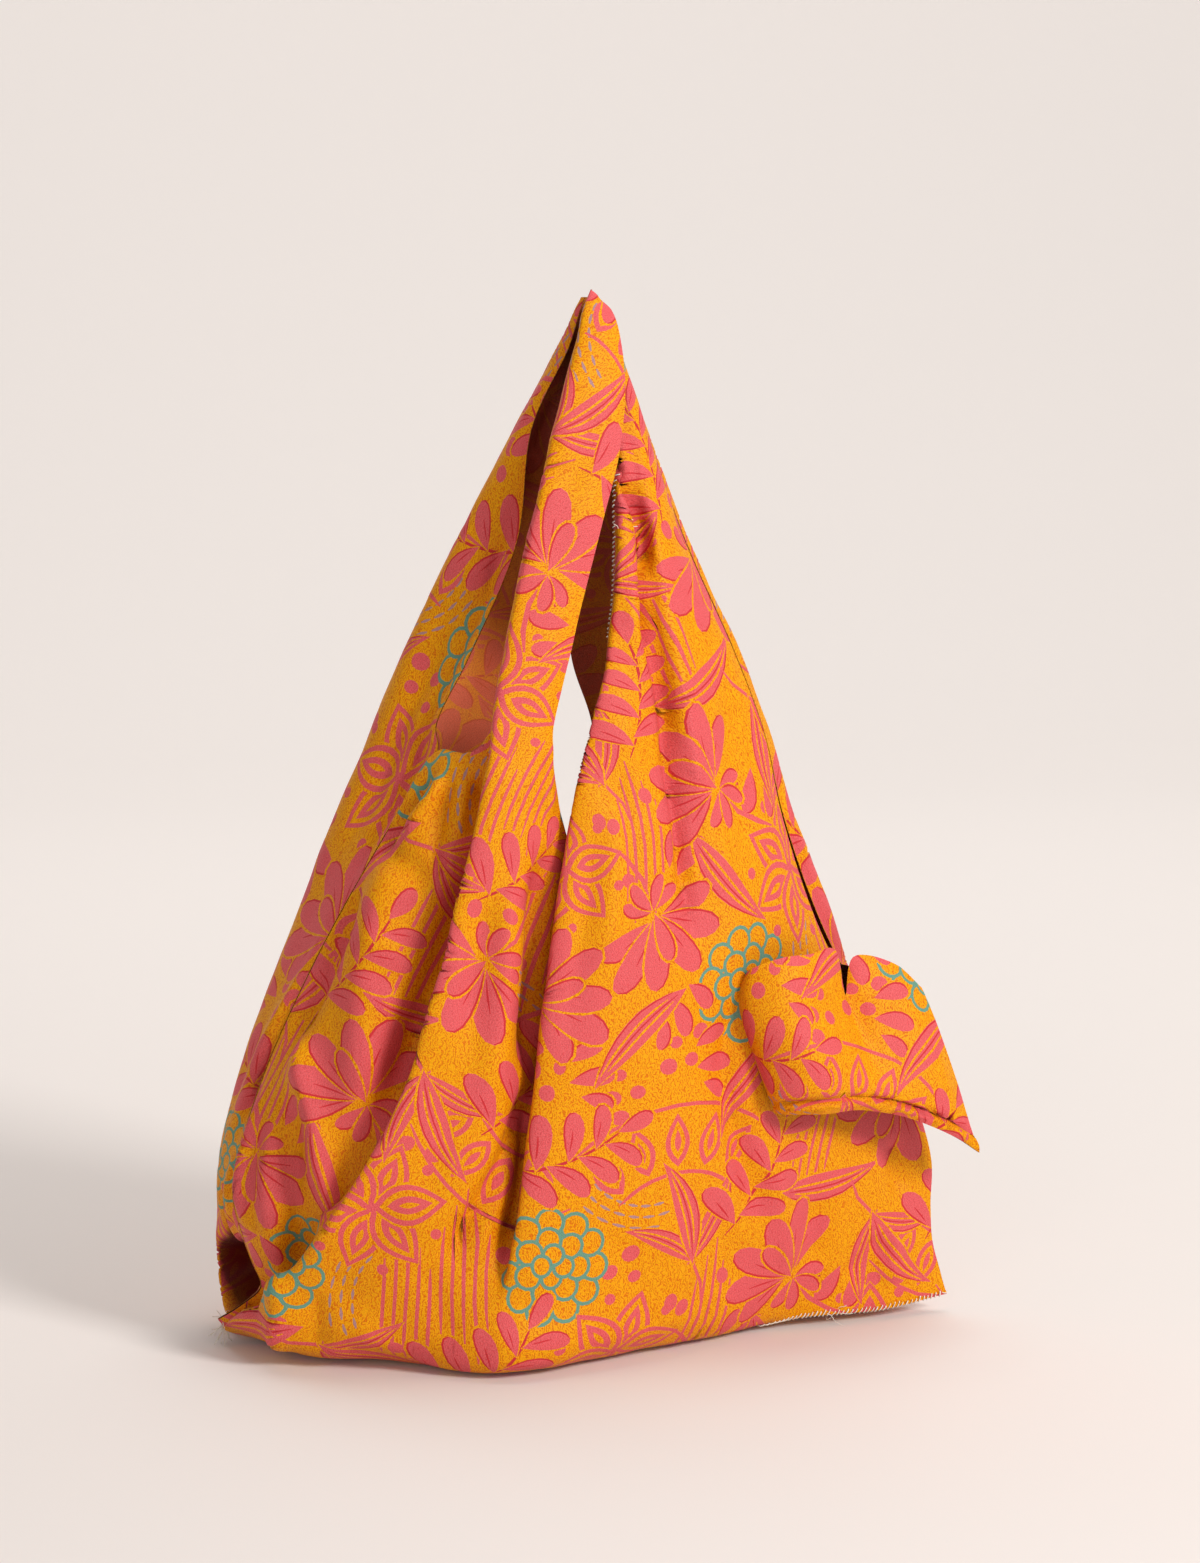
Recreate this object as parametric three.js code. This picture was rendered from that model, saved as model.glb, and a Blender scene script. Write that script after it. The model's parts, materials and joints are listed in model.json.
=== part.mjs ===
// Foldable shopping bag of printed cloth, standing with its two handles drawn up to one point.
// Millimetres, +Z up, front towards -Y. The bottom seam runs along X between two corners.
import * as THREE from 'three';

// Driving sizes
const CLOTH = 2.0; // thickness of every sheet
const LEFT_SEAM_GAP = { x: -2, y: 4.4 }; // the back panel's left edge from the front panel's
const RIGHT_SEAM_GAP = { x: 0, y: 3.2 }; // the same at the right edge
const LEFT_TIP = 665; // heights of the handles' four halves
const RIGHT_TIP = 650;
const BACK_LEFT_TIP = 660;
const BACK_RIGHT_TIP = 648;
const RIGHT_SHOULDER = 642; // where the right handle's halves begin to draw in
const ROW_STEPS = 2; // grid rows for each step between two heights
const FOLD_STEPS = 2; // grid columns for each step between two folds

// Heights of the rows along which each fold is given. The first is the bottom seam, the second
// is where the cloth leaves the floor.
const FLOOR = CLOTH / 2;
const HEIGHTS = [
  FLOOR, FLOOR, 20, 48, 72, 105, 170, 250, 330, 378, 398, 440, 510, 580, 630, 652, LEFT_TIP,
];
const NOTCH_ROW = 8; // the row at which the mouths begin
const RIGHT_TOP = { 15: RIGHT_SHOULDER, 16: RIGHT_TIP };
const BACK_LEFT_TOP = { 16: BACK_LEFT_TIP };
const BACK_RIGHT_TOP = { 15: RIGHT_SHOULDER, 16: BACK_RIGHT_TIP };

// Folds of the front panel from the left side to the right, a row for each fold. x and y are its
// places at HEIGHTS, and z holds the heights that differ, by row.
const FRONT_LEFT = [
  {
    name: 'side hem',
    x: [-246, -233, -220, -225, -231, -236.5, -219, -184, -140, -107, -84, -58, -36, -21, -9.5, -7.5, -5.6],
    y: [-7, -24, -36, -35, -32, -28, -28, -34, -40, -43, -62, -50, -36, -20, -8, -4.5, -2.2],
    z: { 0: 15, 1: 28, 2: 44, 3: 58, 4: 76, 9: 383, 10: 380 },
  },
  {
    name: 'flank',
    x: [-245, -230, -214, -216, -226, -230, -206, -170, -130, -101, -82, -62, -42, -25, -12.5, -9.5, -6],
    y: [-8, -24.5, -39, -43, -46, -50, -56, -58, -58, -56, -66, -54, -38, -21.5, -9, -5, -2.4],
    z: { 0: 14, 1: 25, 2: 41, 3: 53, 4: 74, 9: 381, 10: 386 },
  },
  {
    name: 'face',
    x: [-244, -229, -212, -210, -213, -207, -172, -140, -112, -93, -80, -66, -47, -29, -15, -10.4, -6],
    y: [-9, -25, -41, -50, -60, -72, -80, -76, -68, -65, -69, -57, -40, -23, -10, -5.8, -2.8],
    z: { 0: 13, 1: 23, 2: 37, 3: 47, 4: 72, 9: 379, 10: 392 },
  },
  {
    name: 'tuck',
    x: [-243, -232, -217, -207, -191, -170, -130, -104, -84, -77, -76, -69, -51, -32, -16.6, -11.8, -6.4],
    y: [-10, -26, -44, -56, -72, -88, -90, -85, -76, -71, -71, -60, -43, -25, -11.5, -7, -3.6],
    z: { 0: 11.5, 1: 21, 2: 34, 3: 46 },
  },
  {
    name: 'ridge',
    x: [-242, -240, -232, -221, -202, -181, -142, -115, -93, -81, -78, -70, -52, -33, -17.6, -12.6, -6.8],
    y: [-12, -28, -48, -68, -88, -105, -107, -101, -91, -82, -78, -66, -49, -31, -17, -11.5, -5.5],
    z: { 0: 10, 1: 20, 2: 32 },
  },
  {
    name: 'strap',
    x: [-198, -198, -202, -192, -174, -152, -105, -82, -68, -62, -60, -50, -31, -12, -3, -4, -5],
    y: [-14, -64, -76, -90, -102, -111, -111, -105, -95, -88, -85, -73, -55, -38, -23, -15.5, -7.5],
    z: { 16: LEFT_TIP - 1 },
  },
  {
    name: 'hollow',
    x: [-150, -144, -146, -138, -124, -108, -76, -58, -46, -48, -47, -38, -19, -1, 5, 1, -2.6],
    y: [-17, -76, -88, -98, -106, -110, -104, -95, -86, -84, -81, -70, -53, -35.5, -20, -12.5, -6.5],
    z: { 16: LEFT_TIP - 3 },
  },
];

// The fold below the mouth, then the mouth's left and right hems above it.
const FRONT_VALLEY = {
  name: 'valley',
  x: [-110, -100, -97, -90, -80, -67, -54, -40, -29],
  y: [-20, -101, -109, -112, -111, -104, -92, -82, -74],
  z: { 8: 322 },
};
const FRONT_MOUTH_LEFT = {
  name: 'mouth left hem',
  x: [-29, -41, -40, -29, -9, 10, 11.5, 6, -0.4],
  y: [-74, -77, -76, -65, -49, -31, -16, -9.5, -5.5],
  z: { 0: 322, 8: LEFT_TIP - 6 },
};
const FRONT_MOUTH_RIGHT = {
  name: 'mouth right hem',
  x: [-29, -14, -9, -2, 4, 4, 1, 0, -0.5],
  y: [-74, -66, -62, -52, -36, -20, -8.5, -5.5, -2.8],
  z: { 0: 322, 7: RIGHT_SHOULDER, 8: RIGHT_TIP },
};

const FRONT_RIGHT = [
  {
    name: 'lip',
    x: [-95, -72, -76, -78, -78, -71, -61, -49, -33, -22, -16, -4, 6, 6, 2.4, 1.2, 0.3],
    y: [-21, -108, -117, -118, -117, -114, -107, -99, -88, -78, -73, -62, -43, -22.5, -10, -6.8, -4],
    z: { ...RIGHT_TOP },
  },
  {
    name: 'crease',
    x: [-20, 6, 10, 11, 11, 10, 9, 7, 7, 8, 8, 8, 12, 10, 4.6, 3.2, 1.8],
    y: [-27, -82, -90, -95, -99, -103, -102, -97, -86, -76, -72, -61, -43, -22, -10, -7, -4.2],
    z: { ...RIGHT_TOP },
  },
  {
    name: 'groove',
    x: [66, 84, 87, 86, 84, 80, 70, 58, 46, 38, 35, 30, 22, 14.5, 7.2, 5.2, 3.2],
    y: [-34, -44, -51, -59, -65, -72, -77, -75, -66, -57, -54, -45, -33, -20, -7.5, -5.2, -3.4],
    z: { ...RIGHT_TOP },
  },
  {
    name: 'shoulder',
    x: [98, 106, 110, 111, 110, 106, 96, 80, 62, 52, 48, 42, 31, 19.4, 9, 6.4, 4.4],
    y: [-30.5, -34, -39, -45, -50, -58, -66, -68, -62, -54, -52, -45, -33, -19, -6.8, -4.6, -2.8],
    z: { 0: 4, 1: 8, 2: 22, ...RIGHT_TOP },
  },
  {
    name: 'cheek',
    x: [129, 130, 133, 137, 138, 135, 126, 105, 82, 71, 67, 57, 40, 23.4, 10.4, 7.6, 5.2],
    y: [-26, -27, -29, -34, -38, -42, -48, -51, -50, -44, -42, -36, -26, -15, -5.6, -3.4, -2],
    z: { 0: 7.5, 1: 12, 2: 24, ...RIGHT_TOP },
  },
  {
    name: 'edge',
    x: [183, 184, 186, 189, 189, 187, 171, 137, 108, 94, 89, 76, 48.5, 27, 11.4, 8.2, 6],
    y: [-13.5, -14, -14, -15, -16, -18, -22, -33, -26, -22, -21, -18, -13, -8, -3, -1.6, -1],
    z: { 0: 8.5, 1: 13, 2: 25, ...RIGHT_TOP },
  },
  {
    name: 'right side hem',
    x: [229, 227, 224, 218.5, 217, 216.5, 193, 150, 116, 105, 99, 83, 52, 28, 11, 8, 6.4],
    y: [0, -1, -1, -1, -1, -2, -4, -16, -14, -12, -11, -8, -5, -2, -0.5, 0, 0.3],
    z: { 0: 13, 1: 18, 2: 27, ...RIGHT_TOP },
  },
];

// Folds of the back panel. Its side hems follow the front panel's along the side seams.
const BACK_SIDE_HEM = {
  name: 'back side hem',
  x: [-108, -87, -59, -46, -19.5, -12.5, -9.5],
  y: [-38, -35, -20, -9, -1, 0.2, 0.8],
  z: { 6: BACK_LEFT_TIP },
};
const BACK_LEFT = [
  {
    name: 'pleat',
    x: [-243, -242, -233, -228, -235, -242, -227, -194, -156, -131, -126, -107, -76, -51, -22, -14, -11],
    y: [-5, 0, 6, -2, -19, -11, -9, -10, -12, -14, -14, -10, -5, -1, 2, 2.3, 2.8],
    z: { 0: 12, 1: 24, 2: 42, 3: 56, 4: 72, ...BACK_LEFT_TOP },
  },
  {
    name: 'back flank',
    x: [-238, -245, -246, -245, -245, -246, -231, -201, -169, -148, -140, -122, -88, -52, -24, -15, -11],
    y: [-8, 4, 7, 8, 9, 10, 10, 12, 13, 12, 12, 11, 9, 7, 6, 5.6, 5.2],
    z: { 0: 8, 1: 14, 2: 28, ...BACK_LEFT_TOP },
  },
  {
    name: 'back quarter',
    x: [-200, -213, -224, -229, -231, -229, -213, -183, -151, -133, -127, -111, -81, -50, -24, -14, -9],
    y: [-11, 36, 42, 47, 50, 53, 55, 53, 49, 45, 44, 39, 29, 18, 11, 9, 7.6],
    z: { ...BACK_LEFT_TOP },
  },
  {
    name: 'back shoulder',
    x: [-120, -150, -156, -158, -157, -152, -138, -118, -98, -92, -88, -78, -61, -39, -19, -12, -7],
    y: [-16, 80, 90, 95, 97, 98, 96, 88, 76, 68, 65, 56, 39, 23, 14, 11.4, 9.4],
    z: { ...BACK_LEFT_TOP },
  },
  {
    name: 'back furrow',
    x: [-80, -92, -94, -94, -92, -88, -78, -64, -50, -56, -57, -55, -47, -30, -14, -9, -5],
    y: [-19, 86, 94, 97, 97, 95, 88, 77, 64, 60, 57, 48, 34, 20, 13.5, 11.8, 9.9],
    z: { 9: 368, ...BACK_LEFT_TOP },
  },
];
const BACK_VALLEY = {
  name: 'back valley',
  x: [-20, -28, -28, -27, -26, -24, -20, -16, -14],
  y: [-23, 98, 106, 108, 107, 103, 92, 74, 61],
  z: { 8: 305 },
};
const BACK_MOUTH_LEFT = {
  name: 'back mouth left hem',
  x: [-14, -30, -33, -38, -36, -22, -9, -6, -3.5],
  y: [61, 57, 51, 42, 29, 17, 12.5, 11.2, 9.8],
  z: { 0: 305, 1: 335, 2: 385, 8: BACK_LEFT_TIP },
};
const BACK_MOUTH_RIGHT = {
  name: 'back mouth right hem',
  x: [-14, 4, 1, -14, -8, 0, 3, 2, 1],
  y: [61, 54, 44, 36, 27, 14, 8, 6.8, 5.4],
  z: { 0: 305, 1: 335, 2: 385, 3: 435, 7: RIGHT_SHOULDER, 8: BACK_RIGHT_TIP },
};
const BACK_RIGHT = [
  {
    name: 'back ridge',
    x: [50, 42, 43, 43, 43, 42, 40, 36, 34, 30, 28, 20, 13, 9, 5, 3.6, 2],
    y: [-28, 90, 99, 101, 100, 97, 88, 70, 54, 45, 42, 37, 27, 14.5, 8, 7, 5.8],
    z: { ...BACK_RIGHT_TOP },
  },
  {
    name: 'back cheek',
    x: [110, 112, 115, 116, 116, 114, 106, 90, 72, 64, 60, 52, 35, 19, 8.6, 6.4, 4],
    y: [-24, 62, 70, 72, 71, 67, 57, 43, 33, 29, 27, 25, 19, 11, 6.8, 6.2, 5.4],
    z: { 0: 6, ...BACK_RIGHT_TOP },
  },
  {
    name: 'back edge',
    x: [183, 180, 186, 188, 188, 186, 166, 134, 104, 92, 86, 74, 48, 26, 11, 8.4, 6],
    y: [-8, 24, 29, 28, 26, 23, 18, 13, 9, 9, 9, 10, 9, 6, 5, 4.8, 4.6],
    z: { 0: 9.5, ...BACK_RIGHT_TOP },
  },
];
const BACK_RIGHT_HEM = {
  name: 'back right side hem',
  x: [122, 108, 101, 84, 53, 29, 12, 9.4, 7.8],
  y: [-5, -2, -1, 1, 2, 3, 3.4, 3.5, 3.6],
  z: { 7: RIGHT_SHOULDER, 8: BACK_RIGHT_TIP },
};
const LEFT_SEAM_ROWS = 10; // rows of the left side seam, up to the gather
const RIGHT_SEAM_ROWS = 8; // rows of the right side seam, up to the pouch

// The fold-away pouch hangs by the middle of its top edge. A row for each line across it, from
// left to right: left end, left middle, beside the crease, crease, beside it, right middle, end.
const POUCH_FRONT = [
  { name: 'hem', x: [80, 101, 143, 150, 160, 184, 202], y: [-76, -73, -45, -46, -38, -33, -30],
    z: [241, 251, 247, 224, 238, 233, 219] },
  { name: 'upper', x: [83, 105, 146, 154, 167, 196, 211], y: [-82, -79, -50, -49, -44, -40, -33],
    z: [221, 225, 213, 206, 212, 209, 201] },
  { name: 'lower', x: [95, 113, 150, 163, 180, 210, 224], y: [-87, -86, -66, -62, -57, -48, -37],
    z: [187, 189, 183, 179, 176, 170, 162] },
  { name: 'foot', x: [104, 118, 152, 169, 189, 222, 240], y: [-84, -84, -69, -67, -61, -47, -38],
    z: [161, 160, 160, 157, 150, 133, 119] },
];
const POUCH_BACK = [
  { name: 'back hem', x: [81, 103, 143, 151, 162, 183, 202], y: [-72, -66, -37, -20.5, -19, -19, -24.5],
    z: [242, 253, 250, 250, 243, 236, 221] },
  { name: 'back upper', x: [85, 108, 150, 160, 171, 198, 211], y: [-78, -71, -38, -33, -29.5, -28, -28.4],
    z: [222, 226, 217, 213, 211, 207, 201] },
  { name: 'back lower', x: [97, 117, 154, 168, 182, 210, 224], y: [-82.8, -77, -53, -48, -45, -38, -32.4],
    z: [187, 188, 183, 179, 174, 167, 161] },
  { name: 'back foot', x: [105, 119, 154, 171, 190, 222, 240], y: [-79.8, -77, -62, -58, -53, -42, -33.6],
    z: [156, 154, 154, 151, 144, 128, 115] },
];
const POUCH_ROW_STEPS = 3;
const POUCH_FOLD_STEPS = 2;

// A smooth line through points that lie at uneven distances.
function smoothLine(points) {
  return new THREE.CatmullRomCurve3(points, false, 'centripetal');
}

// The line's points, with the given number of steps between each two of its own.
function lineSamples(points, steps) {
  const line = smoothLine(points);
  const count = (points.length - 1) * steps;
  const samples = [];
  for (let i = 0; i <= count; i += 1) {
    samples.push(line.getPoint(i / count));
  }
  return samples;
}

// A fold's points, from its table row.
function foldPoints(fold, firstRow = 0) {
  return fold.x.map((x, row) => {
    const height = fold.z?.[row] ?? HEIGHTS[firstRow + row];
    return new THREE.Vector3(x, fold.y[row], height);
  });
}

// The fold's points at every grid row, none of them below the floor.
function foldSamples(points) {
  const samples = lineSamples(points, ROW_STEPS);
  for (const point of samples) {
    point.z = Math.max(point.z, FLOOR);
  }
  return samples;
}

// One grid row across the folds.
function acrossFolds(folds, row) {
  const points = lineSamples(folds.map((fold) => fold[row]), FOLD_STEPS);
  for (const point of points) {
    point.z = Math.max(point.z, FLOOR);
  }
  return points;
}

// The grid of a panel: whole rows up to the mouth, then a left and a right half for each row.
function panelRows(left, valley, mouthLeft, mouthRight, right) {
  const notch = NOTCH_ROW * ROW_STEPS;
  const last = (HEIGHTS.length - 1) * ROW_STEPS;
  const rows = [];
  for (let row = 0; row <= last; row += 1) {
    if (row <= notch) {
      rows.push([acrossFolds([...left, valley, ...right], row)]);
      continue;
    }
    const above = row - notch;
    rows.push([
      acrossFolds([...left.map((fold) => fold.slice(notch)), mouthLeft], above),
      acrossFolds([mouthRight, ...right.map((fold) => fold.slice(notch))], above),
    ]);
  }
  return rows;
}

// The middle surface of a grid: its points and its four-sided cells. Above the notch a row has
// two halves, and the point at the notch belongs to both.
function middleSurface(rows) {
  const points = [];
  const numbered = rows.map((halves) => halves.map((half) => half.map((point) => points.push(point) - 1)));
  const cells = [];
  for (let row = 0; row + 1 < numbered.length; row += 1) {
    const above = numbered[row + 1];
    let below = numbered[row];
    if (below.length < above.length) {
      const split = above[0].length;
      below = [below[0].slice(0, split), below[0].slice(split - 1)];
    }
    above.forEach((half, side) => {
      for (let i = 0; i + 1 < half.length; i += 1) {
        cells.push([below[side][i], below[side][i + 1], half[i + 1], half[i]]);
      }
    });
  }
  return { points, cells };
}

// The mean direction that the surface faces at each point.
function pointNormals({ points, cells }) {
  const normals = points.map(() => new THREE.Vector3());
  for (const cell of cells) {
    const [a, b, c, d] = cell.map((index) => points[index]);
    const diagonal = new THREE.Vector3().subVectors(c, a);
    const other = new THREE.Vector3().subVectors(d, b);
    const normal = diagonal.cross(other);
    cell.forEach((index) => normals[index].add(normal));
  }
  normals.forEach((normal) => normal.normalize());
  return normals;
}

// A closed sheet around the middle surface, faced with triangles on both sides and at its rims.
function sheetGeometry(rows, turned) {
  const surface = middleSurface(rows);
  const normals = pointNormals(surface);
  const count = surface.points.length;
  const side = turned ? -CLOTH / 2 : CLOTH / 2;
  const positions = [];
  for (const reach of [side, -side]) {
    surface.points.forEach((point, index) => {
      const place = point.clone().addScaledVector(normals[index], reach);
      positions.push(place.x, place.y, Math.max(place.z, 0));
    });
  }
  const faces = [];
  const addFace = (a, b, c) => (turned ? faces.push(a, c, b) : faces.push(a, b, c));
  const edges = new Map();
  for (const [a, b, c, d] of surface.cells) {
    addFace(a, b, c);
    addFace(a, c, d);
    addFace(count + a, count + c, count + b);
    addFace(count + a, count + d, count + c);
    for (const [from, to] of [[a, b], [b, c], [c, d], [d, a]]) {
      const twin = `${to} ${from}`;
      if (edges.has(twin)) {
        edges.delete(twin);
      } else {
        edges.set(`${from} ${to}`, [from, to]);
      }
    }
  }
  for (const [from, to] of edges.values()) {
    addFace(from, count + from, count + to);
    addFace(from, count + to, to);
  }
  const geometry = new THREE.BufferGeometry();
  geometry.setAttribute('position', new THREE.Float32BufferAttribute(positions, 3));
  geometry.setIndex(faces);
  geometry.computeVertexNormals();
  return geometry;
}

// The front panel's grid rows.
function frontRows() {
  return panelRows(
    FRONT_LEFT.map((fold) => foldSamples(foldPoints(fold))),
    foldSamples(foldPoints(FRONT_VALLEY)),
    foldSamples(foldPoints(FRONT_MOUTH_LEFT, NOTCH_ROW)),
    foldSamples(foldPoints(FRONT_MOUTH_RIGHT, NOTCH_ROW)),
    FRONT_RIGHT.map((fold) => foldSamples(foldPoints(fold))),
  );
}

// A side hem of the back panel: beside the front panel's along the seam, then on its own.
function backHem(seam, seamRows, gap, hem) {
  const beside = foldPoints(seam).slice(0, seamRows);
  beside.forEach((point) => point.add(new THREE.Vector3(gap.x, gap.y, 0)));
  return foldSamples([...beside, ...foldPoints(hem, seamRows)]);
}

// The back panel's grid rows.
function backRows() {
  const leftHem = backHem(FRONT_LEFT[0], LEFT_SEAM_ROWS, LEFT_SEAM_GAP, BACK_SIDE_HEM);
  const rightHem = backHem(FRONT_RIGHT.at(-1), RIGHT_SEAM_ROWS, RIGHT_SEAM_GAP, BACK_RIGHT_HEM);
  return panelRows(
    [leftHem, ...BACK_LEFT.map((fold) => foldSamples(foldPoints(fold)))],
    foldSamples(foldPoints(BACK_VALLEY)),
    foldSamples(foldPoints(BACK_MOUTH_LEFT, NOTCH_ROW)),
    foldSamples(foldPoints(BACK_MOUTH_RIGHT, NOTCH_ROW)),
    [...BACK_RIGHT.map((fold) => foldSamples(foldPoints(fold))), rightHem],
  );
}

// The grid rows of a layer of the pouch, from its foot up to its hem.
function pouchRows(table) {
  const lines = table.map((line) => line.x.map((x, i) => new THREE.Vector3(x, line.y[i], line.z[i])));
  const across = lines.reverse().map((line) => lineSamples(line, POUCH_FOLD_STEPS));
  const columns = across[0].map((_, i) => lineSamples(across.map((line) => line[i]), POUCH_ROW_STEPS));
  return columns[0].map((_, row) => [columns.map((column) => column[row])]);
}

// A named sheet of the bag's cloth.
function clothMesh(name, rows, turned, colour) {
  const material = new THREE.MeshStandardMaterial({ color: colour, roughness: 0.85, metalness: 0 });
  const mesh = new THREE.Mesh(sheetGeometry(rows, turned), material);
  mesh.name = name;
  return mesh;
}

const bag = new THREE.Group();
bag.add(clothMesh('front_panel', frontRows(), false, 0xe09a1e));
bag.add(clothMesh('back_panel', backRows(), true, 0xd8921c));
bag.add(clothMesh('pouch_front', pouchRows(POUCH_FRONT), false, 0xe29c20));
bag.add(clothMesh('pouch_back', pouchRows(POUCH_BACK), false, 0xd9941d));

// The origin is under the middle of the bag's outer box, on the floor.
const bounds = new THREE.Box3().setFromObject(bag);
const middle = bounds.getCenter(new THREE.Vector3());
bag.position.set(-middle.x, -middle.y, -bounds.min.z);

export default bag;
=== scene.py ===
"""A foldable shopping bag of thin printed cloth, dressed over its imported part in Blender 4.5.

The bag stands on its bottom, with both handles drawn up to one point and a small fold-away
pouch at its right side seam. Sizes in the tables are millimetres, as they were taken on the
bag; the meshes are metres, +Z up, with the front panel towards -Y.
"""
import json
import logging
import math
import random
from collections.abc import Callable
from dataclasses import dataclass, field
from enum import IntEnum

import bpy
import numpy as np
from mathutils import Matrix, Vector, bvhtree, geometry

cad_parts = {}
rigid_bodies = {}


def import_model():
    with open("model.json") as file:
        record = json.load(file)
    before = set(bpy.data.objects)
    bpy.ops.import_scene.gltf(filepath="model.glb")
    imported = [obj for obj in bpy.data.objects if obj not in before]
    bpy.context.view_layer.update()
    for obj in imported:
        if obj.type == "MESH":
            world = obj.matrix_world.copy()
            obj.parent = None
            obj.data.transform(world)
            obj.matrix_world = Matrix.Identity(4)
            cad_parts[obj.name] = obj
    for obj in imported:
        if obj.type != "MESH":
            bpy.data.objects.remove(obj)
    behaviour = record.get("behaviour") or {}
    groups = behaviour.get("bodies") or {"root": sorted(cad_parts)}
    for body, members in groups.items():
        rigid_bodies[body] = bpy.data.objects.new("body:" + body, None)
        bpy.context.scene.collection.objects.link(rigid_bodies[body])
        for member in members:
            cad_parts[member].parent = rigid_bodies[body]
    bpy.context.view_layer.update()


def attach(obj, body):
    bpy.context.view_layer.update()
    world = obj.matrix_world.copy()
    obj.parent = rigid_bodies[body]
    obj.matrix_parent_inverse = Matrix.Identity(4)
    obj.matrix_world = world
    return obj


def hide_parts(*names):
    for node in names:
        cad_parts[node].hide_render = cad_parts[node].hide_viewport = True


log = logging.getLogger("bag")

Colour = tuple[float, float, float]
Place = tuple[float, float, float]
Spot = tuple[float, float]  # a place on the flat cloth
Span = tuple[float, float]  # from one number to another
SocketValue = bpy.types.NodeSocket | Colour | float

MM = 0.001
BODY = "root"
ORIGIN_SHIFT = (3.7986, 5.1252, 0.0)  # from the tables' places to the part's

CLOTH = 0.8  # thickness of the sheet
LIFT = 1.0  # height of a sheet's middle where it lies on the floor
FLOOR_GAP = 0.2  # least height of anything of the sheet
LEFT_TIP = 665.0  # tops of the front panel's handle halves
RIGHT_TIP = 650.0
BACK_LEFT_TIP = 660.0  # tops of the back panel's handle halves
BACK_RIGHT_TIP = 648.0
RIGHT_SHOULDER = 642.0  # height of the row below the tip of the right handle
HEIGHTS = (  # of the rows of points, where a fold line has none of its own
    LIFT, 6, 20, 48, 72, 105, 170, 250, 330, 378, 398, 440, 510, 580, 630, 652, LEFT_TIP,
)
NOTCH_ROW = 8  # the row at which the mouths begin
LEFT_SEAM_ROWS = 10  # rows of the left side seam, from the bottom up
RIGHT_SEAM_ROWS = 7
LEFT_SEAM_GAP = (-0.5, 1.0, 0.0)  # from the front's hem to the back's, along the seam
RIGHT_SEAM_GAP = (0.2, 1.0, 0.0)

COARSE_STEPS = 4  # grid steps between two folds or rows, where the cloth is laid flat
FINE_STEPS = 28  # the same for its folds and creases
TRIANGLE = 4.2  # side of a triangle of the finished sheets
ROW_RISE = 0.866  # height of a row of them, as a share of the side
CLEARANCE = 0.5  # share of the side that they keep off the print's lines
SHARP = 4.0  # turn of the cloth, in degrees a millimetre, from which it gets smaller triangles
SHARP_TRIANGLE = 1.9  # how far apart their corners are
SHARP_CLEARANCE = 0.4  # share of that that they keep off the print's lines

CREASE_STEPS = 6  # steps between two points of a crease's line
CREASE_REACH = 2.6  # widths from its line beyond which nothing of a crease is left
CREASE_END = 0.3  # share of its length over which it rises at each end
SEWN_SHARE = 0.35  # share of a fold's width, from a side seam, over which creases fade in
RIPPLE = 0.8  # height of the soft unevenness all over
WAVES = 28  # waves that it is made of
WAVE_LENGTHS = (26, 84)
WAVE_STARTS = (0, 6.3)  # radians
WAVE_SUM = 6  # about the most that the waves add up to

# How far the cloth is shut in by other cloth is measured with rays and painted on its colour as
# shade.
HOLLOW_STEP = 4  # fine grid steps between two places where the hollows are measured
HOLLOW_REACH = 150.0  # how far cloth in front of a place still shuts it in
RAYS = 56  # directions, all round, in which cloth is looked for
RAY_START = 1.5  # how far off the cloth the looking begins
GRAZING = 0.15  # directions whose cosine to the cloth's facing is less are left out
FRONT_PAINTED_SHADE_WEIGHT = 0.5  # weight of the painted shade of the hollows on the right side of the front cloths
BACK_PAINTED_SHADE_WEIGHT = 2.0  # weight of the painted shade of the hollows on the right side of the back cloths


@dataclass(frozen=True)
class Fold:
    """A fold line of a panel: its places at the rows, in millimetres."""

    x: tuple[float, ...]
    y: tuple[float, ...]
    z: dict[int, float] = field(default_factory=dict)

    def points(self, first_row: int = 0) -> np.ndarray:
        """Give the fold's points.

        Args:
            first_row: the row at which the fold begins.

        Returns:
            One point for each row.
        """
        heights = [self.z.get(i, HEIGHTS[first_row + i]) for i in range(len(self.x))]
        return np.column_stack([self.x, self.y, heights])


RIGHT_TOP = {15: RIGHT_SHOULDER, 16: RIGHT_TIP}
BACK_LEFT_TOP = {16: BACK_LEFT_TIP}
BACK_RIGHT_TOP = {15: RIGHT_SHOULDER, 16: BACK_RIGHT_TIP}

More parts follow.
